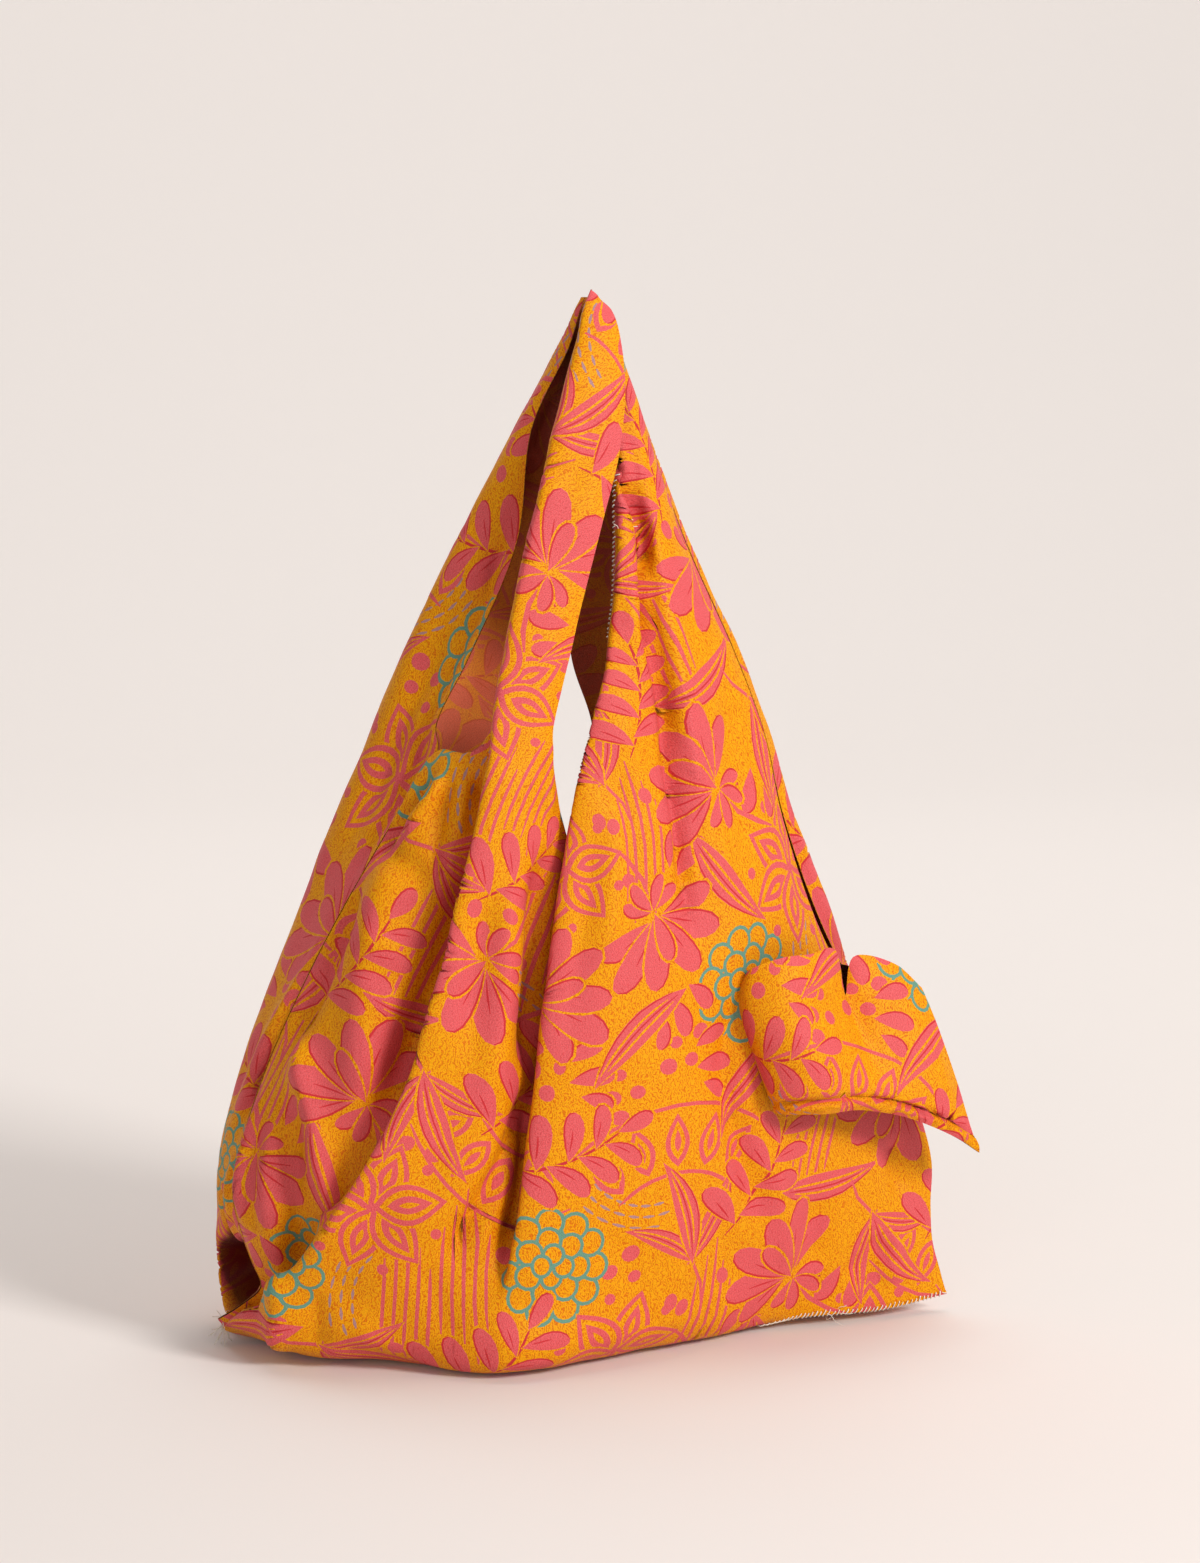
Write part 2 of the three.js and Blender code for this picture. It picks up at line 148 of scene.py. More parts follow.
FRONT_LEFT = (
    Fold(  # side hem
        x=(-246, -233, -220, -225, -231, -236.5, -219, -184, -140, -107, -84, -58, -36, -21,
           -9.5, -7.5, -5.6),
        y=(-7, -24, -36, -35, -32, -28, -28, -34, -40, -43, -62, -50, -36, -20, -8, -4.5, -2.2),
        z={0: 15, 1: 28, 2: 44, 3: 58, 4: 76, 9: 383, 10: 380},
    ),
    Fold(  # flank
        x=(-245, -230, -214, -216, -226, -230, -206, -170, -130, -101, -82, -62, -42, -25,
           -12.5, -9.5, -6),
        y=(-8, -24.5, -39, -43, -46, -50, -56, -58, -58, -56, -66, -54, -38, -21.5, -9, -5, -2.4),
        z={0: 14, 1: 25, 2: 41, 3: 53, 4: 74, 9: 381, 10: 386},
    ),
    Fold(  # face
        x=(-244, -229, -212, -210, -213, -207, -172, -140, -112, -93, -80, -66, -47, -29, -15,
           -10.4, -6),
        y=(-9, -25, -41, -50, -60, -72, -80, -76, -68, -65, -69, -57, -40, -23, -10, -5.8, -2.8),
        z={0: 13, 1: 23, 2: 37, 3: 47, 4: 72, 9: 379, 10: 392},
    ),
    Fold(  # tuck
        x=(-243, -232, -217, -207, -191, -170, -130, -104, -84, -77, -76, -69, -51, -32, -16.6,
           -11.8, -6.4),
        y=(-10, -26, -44, -56, -72, -88, -90, -85, -76, -71, -71, -60, -43, -25, -11.5, -7, -3.6),
        z={0: 11.5, 1: 21, 2: 34, 3: 46},
    ),
    Fold(  # ridge
        x=(-242, -240, -232, -221, -202, -181, -142, -115, -93, -81, -78, -70, -52, -33, -17.6,
           -12.6, -6.8),
        y=(-12, -28, -48, -69, -90, -108, -111, -105, -95, -88, -85, -73, -55.5, -38, -22.5, -15,
           -7),
        z={0: 10, 1: 20, 2: 32},
    ),
    Fold(  # strap
        x=(-198, -198, -202, -192, -174, -152, -105, -82, -68, -62, -60, -50, -31, -12, -3, -4,
           -5),
        y=(-14, -60, -80, -90, -102, -111, -111, -105, -95, -88, -85, -73, -55, -38, -23, -15.5,
           -7.5),
        z={16: LEFT_TIP - 1},
    ),
    Fold(  # hollow
        x=(-150, -144, -146, -138, -124, -108, -76, -58, -46, -48, -47, -38, -19, -1, 5, 1, -2.6),
        y=(-17, -80, -95, -101, -106, -110, -104, -95, -86, -84, -81, -70, -53, -35.5, -20, -12.5,
           -6.5),
        z={16: LEFT_TIP - 3},
    ),
)
FRONT_VALLEY = Fold(
    x=(-110, -98, -93, -85, -75, -61, -48, -37, -29),
    y=(-20, -109, -118, -116, -109, -97, -83, -74, -74),
    z={8: 322},
)
FRONT_MOUTH_LEFT = Fold(
    x=(-29, -41, -40, -29, -9, 10, 11.5, 6, -0.4),
    y=(-74, -77, -76, -65, -49, -31, -16, -9.5, -5.5),
    z={0: 322, 8: LEFT_TIP - 6},
)
FRONT_MOUTH_RIGHT = Fold(
    x=(-29, -14, -9, -2, 4, 4, 1, 0, -0.5),
    y=(-74, -66, -62, -52, -36, -20, -8.5, -5.5, -2.8),
    z={0: 322, 7: RIGHT_SHOULDER, 8: RIGHT_TIP},
)
FRONT_RIGHT = (
    Fold(  # lip
        x=(-95, -70, -72, -73, -72, -66, -57, -46, -33, -22, -16, -4, 6, 6, 2.4, 1.2, 0.3),
        y=(-21, -116, -124, -118, -117, -114, -107, -99, -88, -78, -73, -62, -43, -22.5, -10,
           -6.8, -4),
        z=RIGHT_TOP,
    ),
    Fold(  # crease
        x=(-20, 6, 10, 11, 11, 10, 9, 7, 7, 8, 8, 8, 12, 10, 4.6, 3.2, 1.8),
        y=(-27, -84, -96, -98, -99, -103, -102, -97, -86, -76, -72, -61, -43, -22, -10, -7, -4.2),
        z=RIGHT_TOP,
    ),
    Fold(  # groove
        x=(66, 84, 87, 86, 84, 80, 70, 58, 46, 38, 35, 30, 22, 14.5, 7.2, 5.2, 3.2),
        y=(-34, -44, -51, -59, -65, -72, -77, -75, -66, -57, -54, -45, -33, -20, -7.5, -5.2,
           -3.4),
        z=RIGHT_TOP,
    ),
    Fold(  # shoulder
        x=(98, 106, 110, 111, 110, 106, 96, 80, 62, 52, 48, 42, 31, 19.4, 9, 6.4, 4.4),
        y=(-30.5, -34, -39, -45, -50, -58, -66, -68, -62, -54, -52, -45, -33, -19, -6.8, -4.6,
           -2.8),
        z={0: 4, 1: 8, 2: 22, **RIGHT_TOP},
    ),
    Fold(  # cheek
        x=(129, 130, 133, 137, 138, 135, 126, 105, 82, 71, 67, 57, 40, 23.4, 10.4, 7.6, 5.2),
        y=(-26, -27, -29, -34, -38, -42, -48, -51, -50, -44, -42, -36, -26, -15, -5.6, -3.4, -2),
        z={0: 7.5, 1: 12, 2: 24, **RIGHT_TOP},
    ),
    Fold(  # edge
        x=(183, 184, 186, 189, 189, 187, 169, 128, 108, 94, 89, 76, 48.5, 27, 11.4, 8.2, 6),
        y=(-13.5, -14, -14, -15, -16, -18, -22, -33, -26, -22, -21, -18, -13, -8, -3, -1.6, -1),
        z={0: 6.5, 1: 11.5, 2: 25, **RIGHT_TOP},
    ),
    Fold(  # right side hem
        x=(229, 227, 224, 218.5, 217, 216.5, 193, 143.5, 115.5, 105.2, 99.2, 83, 52, 28, 11, 8, 6.4),
        y=(0, -1, -1, -1, -1, -2, -4, -13, -12, -10.8, -9.8, -7, -4, -1, -0.5, 0, 0.3),
        z={0: 11.5, 1: 16.5, 2: 27, **RIGHT_TOP},
    ),
)

BACK_SIDE_HEM = Fold(
    x=(-108, -87, -55, -44, -19.5, -12.5, -9.5),
    y=(-38, -35, -20, -9, -1, 0.2, 0.8),
    z={6: BACK_LEFT_TIP},
)
BACK_LEFT = (
    Fold(  # pleat
        x=(-240, -216, -202, -208, -231, -242, -227, -194, -156, -131, -126, -107, -76, -51,
           -22, -14, -11),
        y=(-5, 20, 36, 30, -14, -11, -9, -10, -12, -14, -14, -10, -5, -1, 2, 2.3, 2.8),
        z={0: 12, 1: 24, 2: 42, 3: 56, 4: 72, **BACK_LEFT_TOP},
    ),
    Fold(  # back flank
        x=(-236, -241, -243, -244, -245, -246, -231, -201, -169, -148, -140, -122, -88, -52,
           -24, -15, -11),
        y=(-4, 26, 38, 36, 16, 10, 10, 12, 13, 12, 12, 11, 9, 7, 6, 5.6, 5.2),
        z={0: 8, 1: 14, 2: 28, **BACK_LEFT_TOP},
    ),
    Fold(  # back quarter
        x=(-200, -213, -224, -229, -231, -229, -213, -183, -151, -133, -127, -111, -81, -50,
           -24, -14, -9),
        y=(-13, 36, 42, 47, 50, 53, 55, 53, 49, 45, 44, 39, 29, 18, 11, 9, 7.6),
        z=BACK_LEFT_TOP,
    ),
    Fold(  # back shoulder
        x=(-120, -150, -156, -158, -157, -152, -138, -118, -98, -92, -88, -78, -61, -39, -19,
           -12, -7),
        y=(-18.5, 80, 90, 95, 97, 98, 96, 88, 76, 68, 65, 56, 39, 23, 14, 11.4, 9.4),
        z=BACK_LEFT_TOP,
    ),
    Fold(  # back furrow
        x=(-80, -92, -94, -94, -92, -88, -78, -64, -50, -56, -57, -55, -47, -30, -14, -9, -5),
        y=(-21, 86, 94, 97, 97, 95, 88, 77, 64, 60, 57, 48, 34, 20, 13.5, 11.8, 9.9),
        z={9: 368, **BACK_LEFT_TOP},
    ),
)
BACK_VALLEY = Fold(
    x=(-20, -28, -28, -27, -26, -24, -20, -16, -14),
    y=(-25.5, 98, 106, 108, 107, 103, 92, 74, 61),
    z={8: 305},
)
BACK_MOUTH_LEFT = Fold(
    x=(-14, -30, -33, -38, -36, -22, -9, -6, -3.5),
    y=(61, 57, 51, 42, 29, 17, 12.5, 11.2, 9.8),
    z={0: 305, 1: 335, 2: 385, 8: BACK_LEFT_TIP},
)
BACK_MOUTH_RIGHT = Fold(
    x=(-14, 4, 1, -14, -8, 0, 3, 2, 1),
    y=(61, 54, 44, 36, 27, 14, 8, 6.8, 5.4),
    z={0: 305, 1: 335, 2: 385, 3: 435, 7: RIGHT_SHOULDER, 8: BACK_RIGHT_TIP},
)
BACK_RIGHT = (
    Fold(  # back ridge
        x=(50, 42, 43, 43, 43, 42, 40, 36, 34, 30, 28, 20, 13, 9, 5, 3.6, 2),
        y=(-30.5, 90, 99, 101, 100, 97, 88, 70, 54, 45, 42, 37, 27, 14.5, 8, 7, 5.8),
        z=BACK_RIGHT_TOP,
    ),
    Fold(  # back cheek
        x=(110, 112, 115, 116, 116, 114, 106, 90, 72, 64, 60, 52, 35, 19, 8.6, 6.4, 4),
        y=(-27, 62, 70, 72, 71, 67, 57, 43, 33, 29, 27, 25, 19, 11, 6.8, 6.2, 5.4),
        z={0: 6, **BACK_RIGHT_TOP},
    ),
    Fold(  # back edge
        x=(183, 180, 186, 188, 188, 186, 174, 153, 124, 111, 104.5, 87.5, 56, 29, 11, 8.4, 6),
        y=(-11.6, 24, 29, 28, 26, 23, 17, 9, 3, 3, 3, 4, 4, 5, 5, 4.8, 4.6),
        z={0: 8, **BACK_RIGHT_TOP},
    ),
)
BACK_RIGHT_HEM = Fold(
    x=(147, 117, 106, 100, 84, 53, 28.5, 12, 9.4, 7.8),
    y=(-8, -10, -9, -8, -5, -2, 1.5, 3.4, 3.5, 3.6),
    z={8: RIGHT_SHOULDER, 9: BACK_RIGHT_TIP},
)

POUCH_FRONT = (  # hem, just below it, upper, lower, near the foot, its seam, roll, foot
    ((82, 85, 104, 122, 143.5, 150, 156.5, 184, 203), (-67, -74, -76, -68, -46, -47, -39, -34, -30),
     (240, 246, 253, 253, 251, 222, 245, 239, 222)),
    ((78, 82, 104, 124, 145, 151, 159, 188, 206), (-66, -77, -82, -74, -51, -48, -44, -38, -31),
     (231, 235, 241, 241, 238, 219, 234, 230, 215)),
    ((79, 83, 105, 126, 147, 156, 168, 196, 212), (-68, -80, -87, -78, -57, -50, -49, -43, -33),
     (217, 219, 222, 220, 214, 207, 212, 209, 200)),
    ((89, 93, 113, 132, 152, 164, 180, 211, 225), (-70, -82, -92, -88, -72, -62, -58, -50, -37),
     (186, 188, 190, 188, 184, 180, 177, 171, 162)),
    ((97, 101, 118, 134, 154, 170, 188, 219, 236), (-71, -82, -89, -86, -76, -69, -62, -49, -38),
     (164, 165, 167, 167, 166, 162, 156, 140, 127)),
    ((99, 103, 119, 134, 154, 170, 189, 221, 238), (-69, -76, -81, -79, -70, -64, -57, -45, -36),
     (160, 161, 163, 163, 162, 159, 153, 137, 124)),
    ((100, 104, 119, 134, 153, 170, 190, 222, 240), (-71, -79, -85, -83, -74, -69, -62, -49, -39),
     (157, 157.5, 158.5, 158.5, 158.5, 155, 149, 132.5, 119)),
    ((101, 105, 119, 134, 153, 170, 190, 223, 241), (-68, -74, -79, -77, -69, -64, -58, -46, -36),
     (153, 153, 153.5, 153, 153, 150, 144, 127.5, 114.5)),
)
POUCH_BACK = (
    ((81, 103, 143, 151, 162, 183, 202), (-64, -60, -38, -33, -27, -23, -25),
     (236, 243, 241, 239, 235, 227, 213)),
    ((82, 104, 146, 153, 164, 186, 204), (-66, -62, -27, -24, -22, -22, -25.5),
     (229, 235, 233, 231, 227, 220, 208)),
    ((85, 108, 150, 160, 171, 198, 211), (-68, -63, -28, -26, -25, -25, -28),
     (218, 220, 212, 208, 206, 203, 197)),
    ((97, 117, 154, 168, 182, 210, 224), (-70, -66, -46, -42, -40, -36, -32),
     (187, 188, 183, 179, 174, 167, 161)),
    ((103, 119, 154, 171, 191, 223, 241), (-69, -72, -64, -60, -54, -43, -34),
     (156, 152, 152, 149, 143, 127, 114)),
)


@dataclass(frozen=True)
class Crease:
    """A soft ridge or trough along a bent line on the flat cloth, in millimetres."""

    height: float  # how far it stands out, negative for a trough
    width: float  # from its middle to where it has mostly gone
    line: tuple[Spot, ...]

    def heights(self, flat: np.ndarray) -> np.ndarray:
        """Give the crease's heights.

        Args:
            flat: places on the flat cloth.

        Returns:
            The height at each place.
        """
        middle = smooth_lines(np.array(self.line, dtype=float)[:, None], CREASE_STEPS)[:, 0]
        reach = CREASE_REACH * self.width
        low, high = middle.min(axis=0) - reach, middle.max(axis=0) + reach
        near = ((flat > low) & (flat < high)).all(axis=-1)
        places = flat[near]
        best = np.full(len(places), 1e9)
        share = np.zeros(len(places))
        for number, (start, end) in enumerate(zip(middle[:-1], middle[1:])):
            along = end - start
            part = np.clip((places - start) @ along / (along @ along), 0, 1)
            gap = np.linalg.norm(places - start - part[:, None] * along, axis=1)
            closer = gap < best
            best = np.where(closer, gap, best)
            share = np.where(closer, (number + part) / (len(middle) - 1), share)
        ends = soft_step(share / CREASE_END) * soft_step((1 - share) / CREASE_END)
        heights = np.zeros(flat.shape[:-1])
        heights[near] = self.height * ends * np.exp(-((best / self.width) ** 2))
        return heights


FRONT_CREASES = (
    # left of the strap's ridge, down to the pinch
    Crease(-15, 12, ((-126, 412), (-136, 360), (-146, 318), (-160, 272), (-172, 232), (-182, 196))),
    Crease(5.5, 6, ((-124, 330), (-140, 282), (-152, 244), (-166, 196), (-181, 148), (-200, 112),
                    (-226, 88))),
    Crease(8, 15, ((-196, 366), (-194, 330), (-198, 280), (-196, 236), (-188, 200))),
    Crease(-9, 10, ((-217, 352), (-224, 318), (-234, 286), (-246, 250), (-254, 214))),
    Crease(8, 9, ((-250, 262), (-240, 236), (-225, 204), (-207, 162), (-190, 136), (-176, 120))),
    Crease(-12, 13, ((-240, 222), (-233, 178), (-223, 134), (-216, 100), (-214, 78))),
    Crease(-5, 8, ((-262, 196), (-262, 160), (-256, 128), (-246, 100))),
    Crease(5, 7, ((-268, 220), (-272, 180), (-270, 140), (-258, 108))),
    # about the tack of the arm hole
    Crease(-6, 5.5, ((-176, 418), (-186, 396), (-199, 374), (-214, 352))),
    Crease(5, 5, ((-168, 414), (-176, 392), (-186, 370))),
    Crease(-5, 5, ((-164, 416), (-164, 394), (-160, 370), (-152, 350))),
    Crease(5, 5, ((-156, 414), (-152, 396), (-150, 376))),
    Crease(-4.5, 5, ((-150, 418), (-140, 406), (-132, 396))),
    Crease(-4, 8, ((-206, 364), (-190, 359), (-172, 354), (-152, 346))),
    Crease(-1.5, 7, ((-206, 300), (-190, 292), (-170, 286), (-156, 280))),
    Crease(1.5, 7, ((-208, 316), (-192, 310), (-176, 306))),
    # below the ridge, by the floor
    Crease(-5.5, 15, ((-130, 168), (-142, 132), (-158, 100), (-170, 74))),
    Crease(8, 9, ((-200, 98), (-194, 74), (-190, 50), (-188, 26))),
    Crease(-6, 8, ((-214, 84), (-216, 62), (-212, 42))),
    Crease(-5, 8, ((-176, 92), (-168, 66), (-164, 42))),
    Crease(2, 8, ((-150, 76), (-132, 62), (-108, 54))),
    Crease(-2, 7, ((-160, 60), (-138, 48), (-112, 42), (-84, 40))),
    Crease(-1.8, 9, ((-116, 120), (-98, 96), (-84, 66))),
    # the deep valley by the right half's lip and what runs on from it
    Crease(-14, 11, ((-54, 404), (-51, 366), (-51, 328), (-53, 296), (-57, 262), (-60, 236))),
    Crease(-8, 6, ((-56, 244), (-64, 212), (-75, 178), (-88, 142), (-96, 118))),
    Crease(-6, 5, ((-50, 250), (-54, 210), (-57, 172), (-60, 136), (-62, 104))),
    Crease(4, 8, ((-62, 226), (-70, 188), (-76, 150), (-80, 116))),
    Crease(-4, 10, ((-92, 372), (-96, 330), (-98, 288), (-100, 240))),
    Crease(4, 9, ((-76, 380), (-78, 336), (-80, 290), (-86, 240), (-94, 196))),
    Crease(-2, 9, ((-104, 226), (-112, 188), (-118, 150))),
    Crease(-2, 5, ((-70, 424), (-82, 440), (-96, 462))),
    Crease(2.4, 4.5, ((-62, 414), (-74, 432), (-88, 454), (-104, 480))),
    Crease(-1.6, 6, ((-52, 396), (-66, 412), (-86, 428))),
    # the strap's own soft dents
    Crease(-1.5, 9, ((-150, 470), (-170, 500), (-196, 532))),
    Crease(-1.2, 8, ((-220, 560), (-244, 590), (-270, 616))),
    # the right half: the long groove and what lies beside it
    Crease(-9, 4.5, ((272, 590), (256, 566), (238, 542), (222, 521), (204, 508), (188, 503),
                       (170, 488), (156, 472), (144, 450))),
    Crease(-7, 5, ((166, 484), (150, 456), (137, 434), (121, 409), (107, 376), (98, 346),
                       (94, 312), (95, 280))),
    Crease(4.5, 6, ((206, 524), (184, 506), (160, 492), (140, 462), (122, 430))),
    Crease(5, 9, ((214, 498), (184, 480), (166, 452), (146, 420), (130, 386), (120, 350))),
    Crease(-3.5, 12, ((190, 430), (168, 392), (152, 352), (140, 312))),
    Crease(-3, 10, ((92, 440), (74, 404), (58, 366), (48, 322), (44, 276))),
    Crease(3, 10, ((70, 408), (52, 370), (38, 326), (28, 280))),
    Crease(-2.6, 8, ((38, 392), (26, 360), (16, 322), (8, 280), (0, 236))),
    Crease(-7, 9, ((126, 276), (112, 240), (104, 204), (108, 166), (116, 126), (120, 92))),
    Crease(-1.8, 8, ((96, 270), (90, 230), (92, 190))),
    Crease(4, 10, ((134, 150), (134, 120), (138, 84), (140, 50))),
    Crease(-4, 11, ((168, 110), (160, 82), (158, 50))),
    Crease(-6, 10, ((222, 126), (228, 102), (226, 78))),
    Crease(-4, 8, ((212, 64), (196, 48), (176, 40))),
    Crease(4, 8, ((226, 62), (214, 40), (206, 24))),
    Crease(-1.6, 12, ((64, 150), (84, 118), (96, 84), (100, 56))),
    Crease(-1.4, 11, ((8, 150), (20, 112), (30, 74))),
    Crease(1.4, 10, ((40, 140), (58, 104), (66, 70))),
    Crease(-1.5, 9, ((-30, 60), (8, 50), (46, 46), (84, 46))),
)
BACK_CREASES = (
    # the strap at the left
    Crease(-6, 7, ((-282, 520), (-274, 486), (-270, 450), (-266, 416))),
    Crease(-8, 8, ((-306, 606), (-290, 572), (-276, 536), (-266, 500), (-258, 460))),
    Crease(4, 7, ((-300, 576), (-284, 546), (-268, 506), (-254, 462))),
    Crease(-6, 9, ((-262, 560), (-248, 500), (-240, 440), (-240, 380), (-244, 320))),
    Crease(-5, 9, ((-238, 520), (-224, 460), (-218, 400), (-220, 340))),
    # beside the left seam
    Crease(-8, 8, ((-262, 398), (-268, 352), (-268, 300), (-270, 250), (-272, 200), (-274, 156))),
    Crease(5, 7, ((-250, 404), (-256, 352), (-256, 300), (-258, 240), (-258, 180))),
    Crease(-2.5, 7, ((-244, 260), (-246, 200), (-248, 140), (-244, 90))),
    Crease(3.5, 7, ((-286, 176), (-282, 130), (-274, 90), (-266, 60))),
    Crease(-3.5, 7, ((-272, 140), (-264, 100), (-254, 70))),
    # gathers at the tack
    Crease(-3, 4.5, ((-284, 402), (-268, 398), (-250, 402))),
    Crease(2.6, 4.5, ((-286, 394), (-268, 386), (-250, 384))),
    Crease(-2.6, 4.5, ((-286, 388), (-272, 372), (-258, 362))),
    Crease(-2.4, 4.5, ((-284, 410), (-270, 416), (-256, 426))),
    # the back's long folds
    Crease(-5, 12, ((-150, 470), (-140, 400), (-138, 320), (-140, 230), (-146, 140))),
    Crease(4, 12, ((-110, 440), (-100, 360), (-98, 270), (-102, 180))),
    Crease(-6, 11, ((-30, 390), (-28, 330), (-30, 260), (-36, 180), (-42, 110))),
    Crease(4, 12, ((0, 380), (6, 310), (6, 230), (2, 150))),
    Crease(-5, 12, ((96, 470), (86, 390), (80, 300), (80, 210), (84, 130))),
    Crease(3.5, 12, ((130, 440), (120, 350), (116, 260), (118, 170))),
    Crease(-4, 11, ((190, 420), (180, 340), (176, 260), (180, 180))),
    Crease(3, 10, ((220, 360), (212, 290), (212, 220), (216, 140))),
    Crease(-3, 10, ((-190, 260), (-188, 190), (-190, 120), (-186, 60))),
    Crease(-2.5, 10, ((30, 130), (60, 90), (100, 70), (150, 62))),
    Crease(-2.5, 10, ((-120, 110), (-90, 80), (-50, 66), (0, 60))),
)


def soft_step(share: np.ndarray) -> np.ndarray:
    """Rise smoothly from 0 to 1."""
    share = np.clip(share, 0, 1)
    return share * share * (3 - 2 * share)


def unit(vectors: np.ndarray) -> np.ndarray:
    """Bring vectors to a length of 1."""
    return vectors / np.maximum(np.linalg.norm(vectors, axis=-1, keepdims=True), 1e-9)


def ripple(flat: np.ndarray, seed: int) -> np.ndarray:
    """Give a soft unevenness, of waves with unlike directions and lengths.

    Args:
        flat: places on the flat cloth.
        seed: which waves to use.

    Returns:
        The height at each place, about 1 at the most.
    """
    chance = random.Random(seed)
    total = np.zeros(flat.shape[:-1])
    for _ in range(WAVES):
        length = chance.uniform(*WAVE_LENGTHS)
        turn = chance.uniform(0, math.pi)
        start = chance.uniform(*WAVE_STARTS)
        along = flat[..., 0] * math.cos(turn) + flat[..., 1] * math.sin(turn)
        total += length / WAVE_LENGTHS[1] * np.sin(2 * math.pi * along / length + start)
    return total / WAVE_SUM


def smooth_lines(points: np.ndarray, steps: int) -> np.ndarray:
    """Run smooth lines through points that lie at uneven distances.

    Args:
        points: the lines' own points, of shape (points, lines, size).
        steps: steps between each two points.

    Returns:
        The samples, of shape ((points - 1) * steps + 1, lines, size).
    """
    first = 2 * points[:1] - points[1:2]
    last = 2 * points[-1:] - points[-2:-1]
    chain = np.concatenate([first, points, last])
    gaps = np.sqrt(np.linalg.norm(np.diff(chain[..., :3], axis=0), axis=-1, keepdims=True))
    gaps = np.maximum(gaps, 1e-4)
    before, inside, after = gaps[:-2], gaps[1:-1], gaps[2:]
    p0, p1, p2, p3 = chain[:-3], chain[1:-2], chain[2:-1], chain[3:]
    leave = ((p1 - p0) / before - (p2 - p0) / (before + inside) + (p2 - p1) / inside) * inside
    reach = ((p2 - p1) / inside - (p3 - p1) / (inside + after) + (p3 - p2) / after) * inside
    samples = []
    for step in range(steps):
        t = step / steps
        square = t * t
        cube = square * t
        samples.append(
            (2 * cube - 3 * square + 1) * p1 + (cube - 2 * square + t) * leave
            + (3 * square - 2 * cube) * p2 + (cube - square) * reach
        )
    woven = np.stack(samples, axis=1).reshape(-1, *points.shape[1:])
    return np.concatenate([woven, points[-1:]])


@dataclass
class Patch:
    """A four-sided part of a sheet: its grid, and where it lies on the sheet's fold numbers.

    The first index of the grid runs up the sheet, the second runs across its folds.
    """

    grid: np.ndarray
    first_row: float
    first_fold: float


PatchMaker = Callable[[int], list[Patch]]


@dataclass(frozen=True)
class Net:
    """The patches of a sheet, joined at the points that they share."""

    points: np.ndarray
    cells: np.ndarray  # the four corners of each cell, as point numbers
    owners: np.ndarray  # the patch that each cell is part of
    ids: list[np.ndarray]  # each patch's grid, as point numbers

    @classmethod
    def joined(cls, patches: list[Patch]) -> "Net":
        """Join patches.

        Args:
            patches: the sheet's patches, the lowest first.

        Returns:
            The net.
        """
        points: list[np.ndarray] = []
        cells: list[np.ndarray] = []
        owners: list[np.ndarray] = []
        ids: list[np.ndarray] = []
        total = 0
        for number, patch in enumerate(patches):
            rows, columns = patch.grid.shape[:2]
            own = np.arange(total, total + rows * columns).reshape(rows, columns)
            fresh = patch.grid.reshape(-1, 3)
            if number:
                start = 0 if number == 1 else ids[0].shape[1] - columns
                own = own - columns
                own[0] = ids[0][-1, start:start + columns]
                fresh = patch.grid[1:].reshape(-1, 3)
            total += len(fresh)
            points.append(fresh)
            ids.append(own)
            cells.append(grid_cells(own))
            owners.append(np.full(len(cells[-1]), number))
        return cls(np.concatenate(points), np.concatenate(cells), np.concatenate(owners), ids)


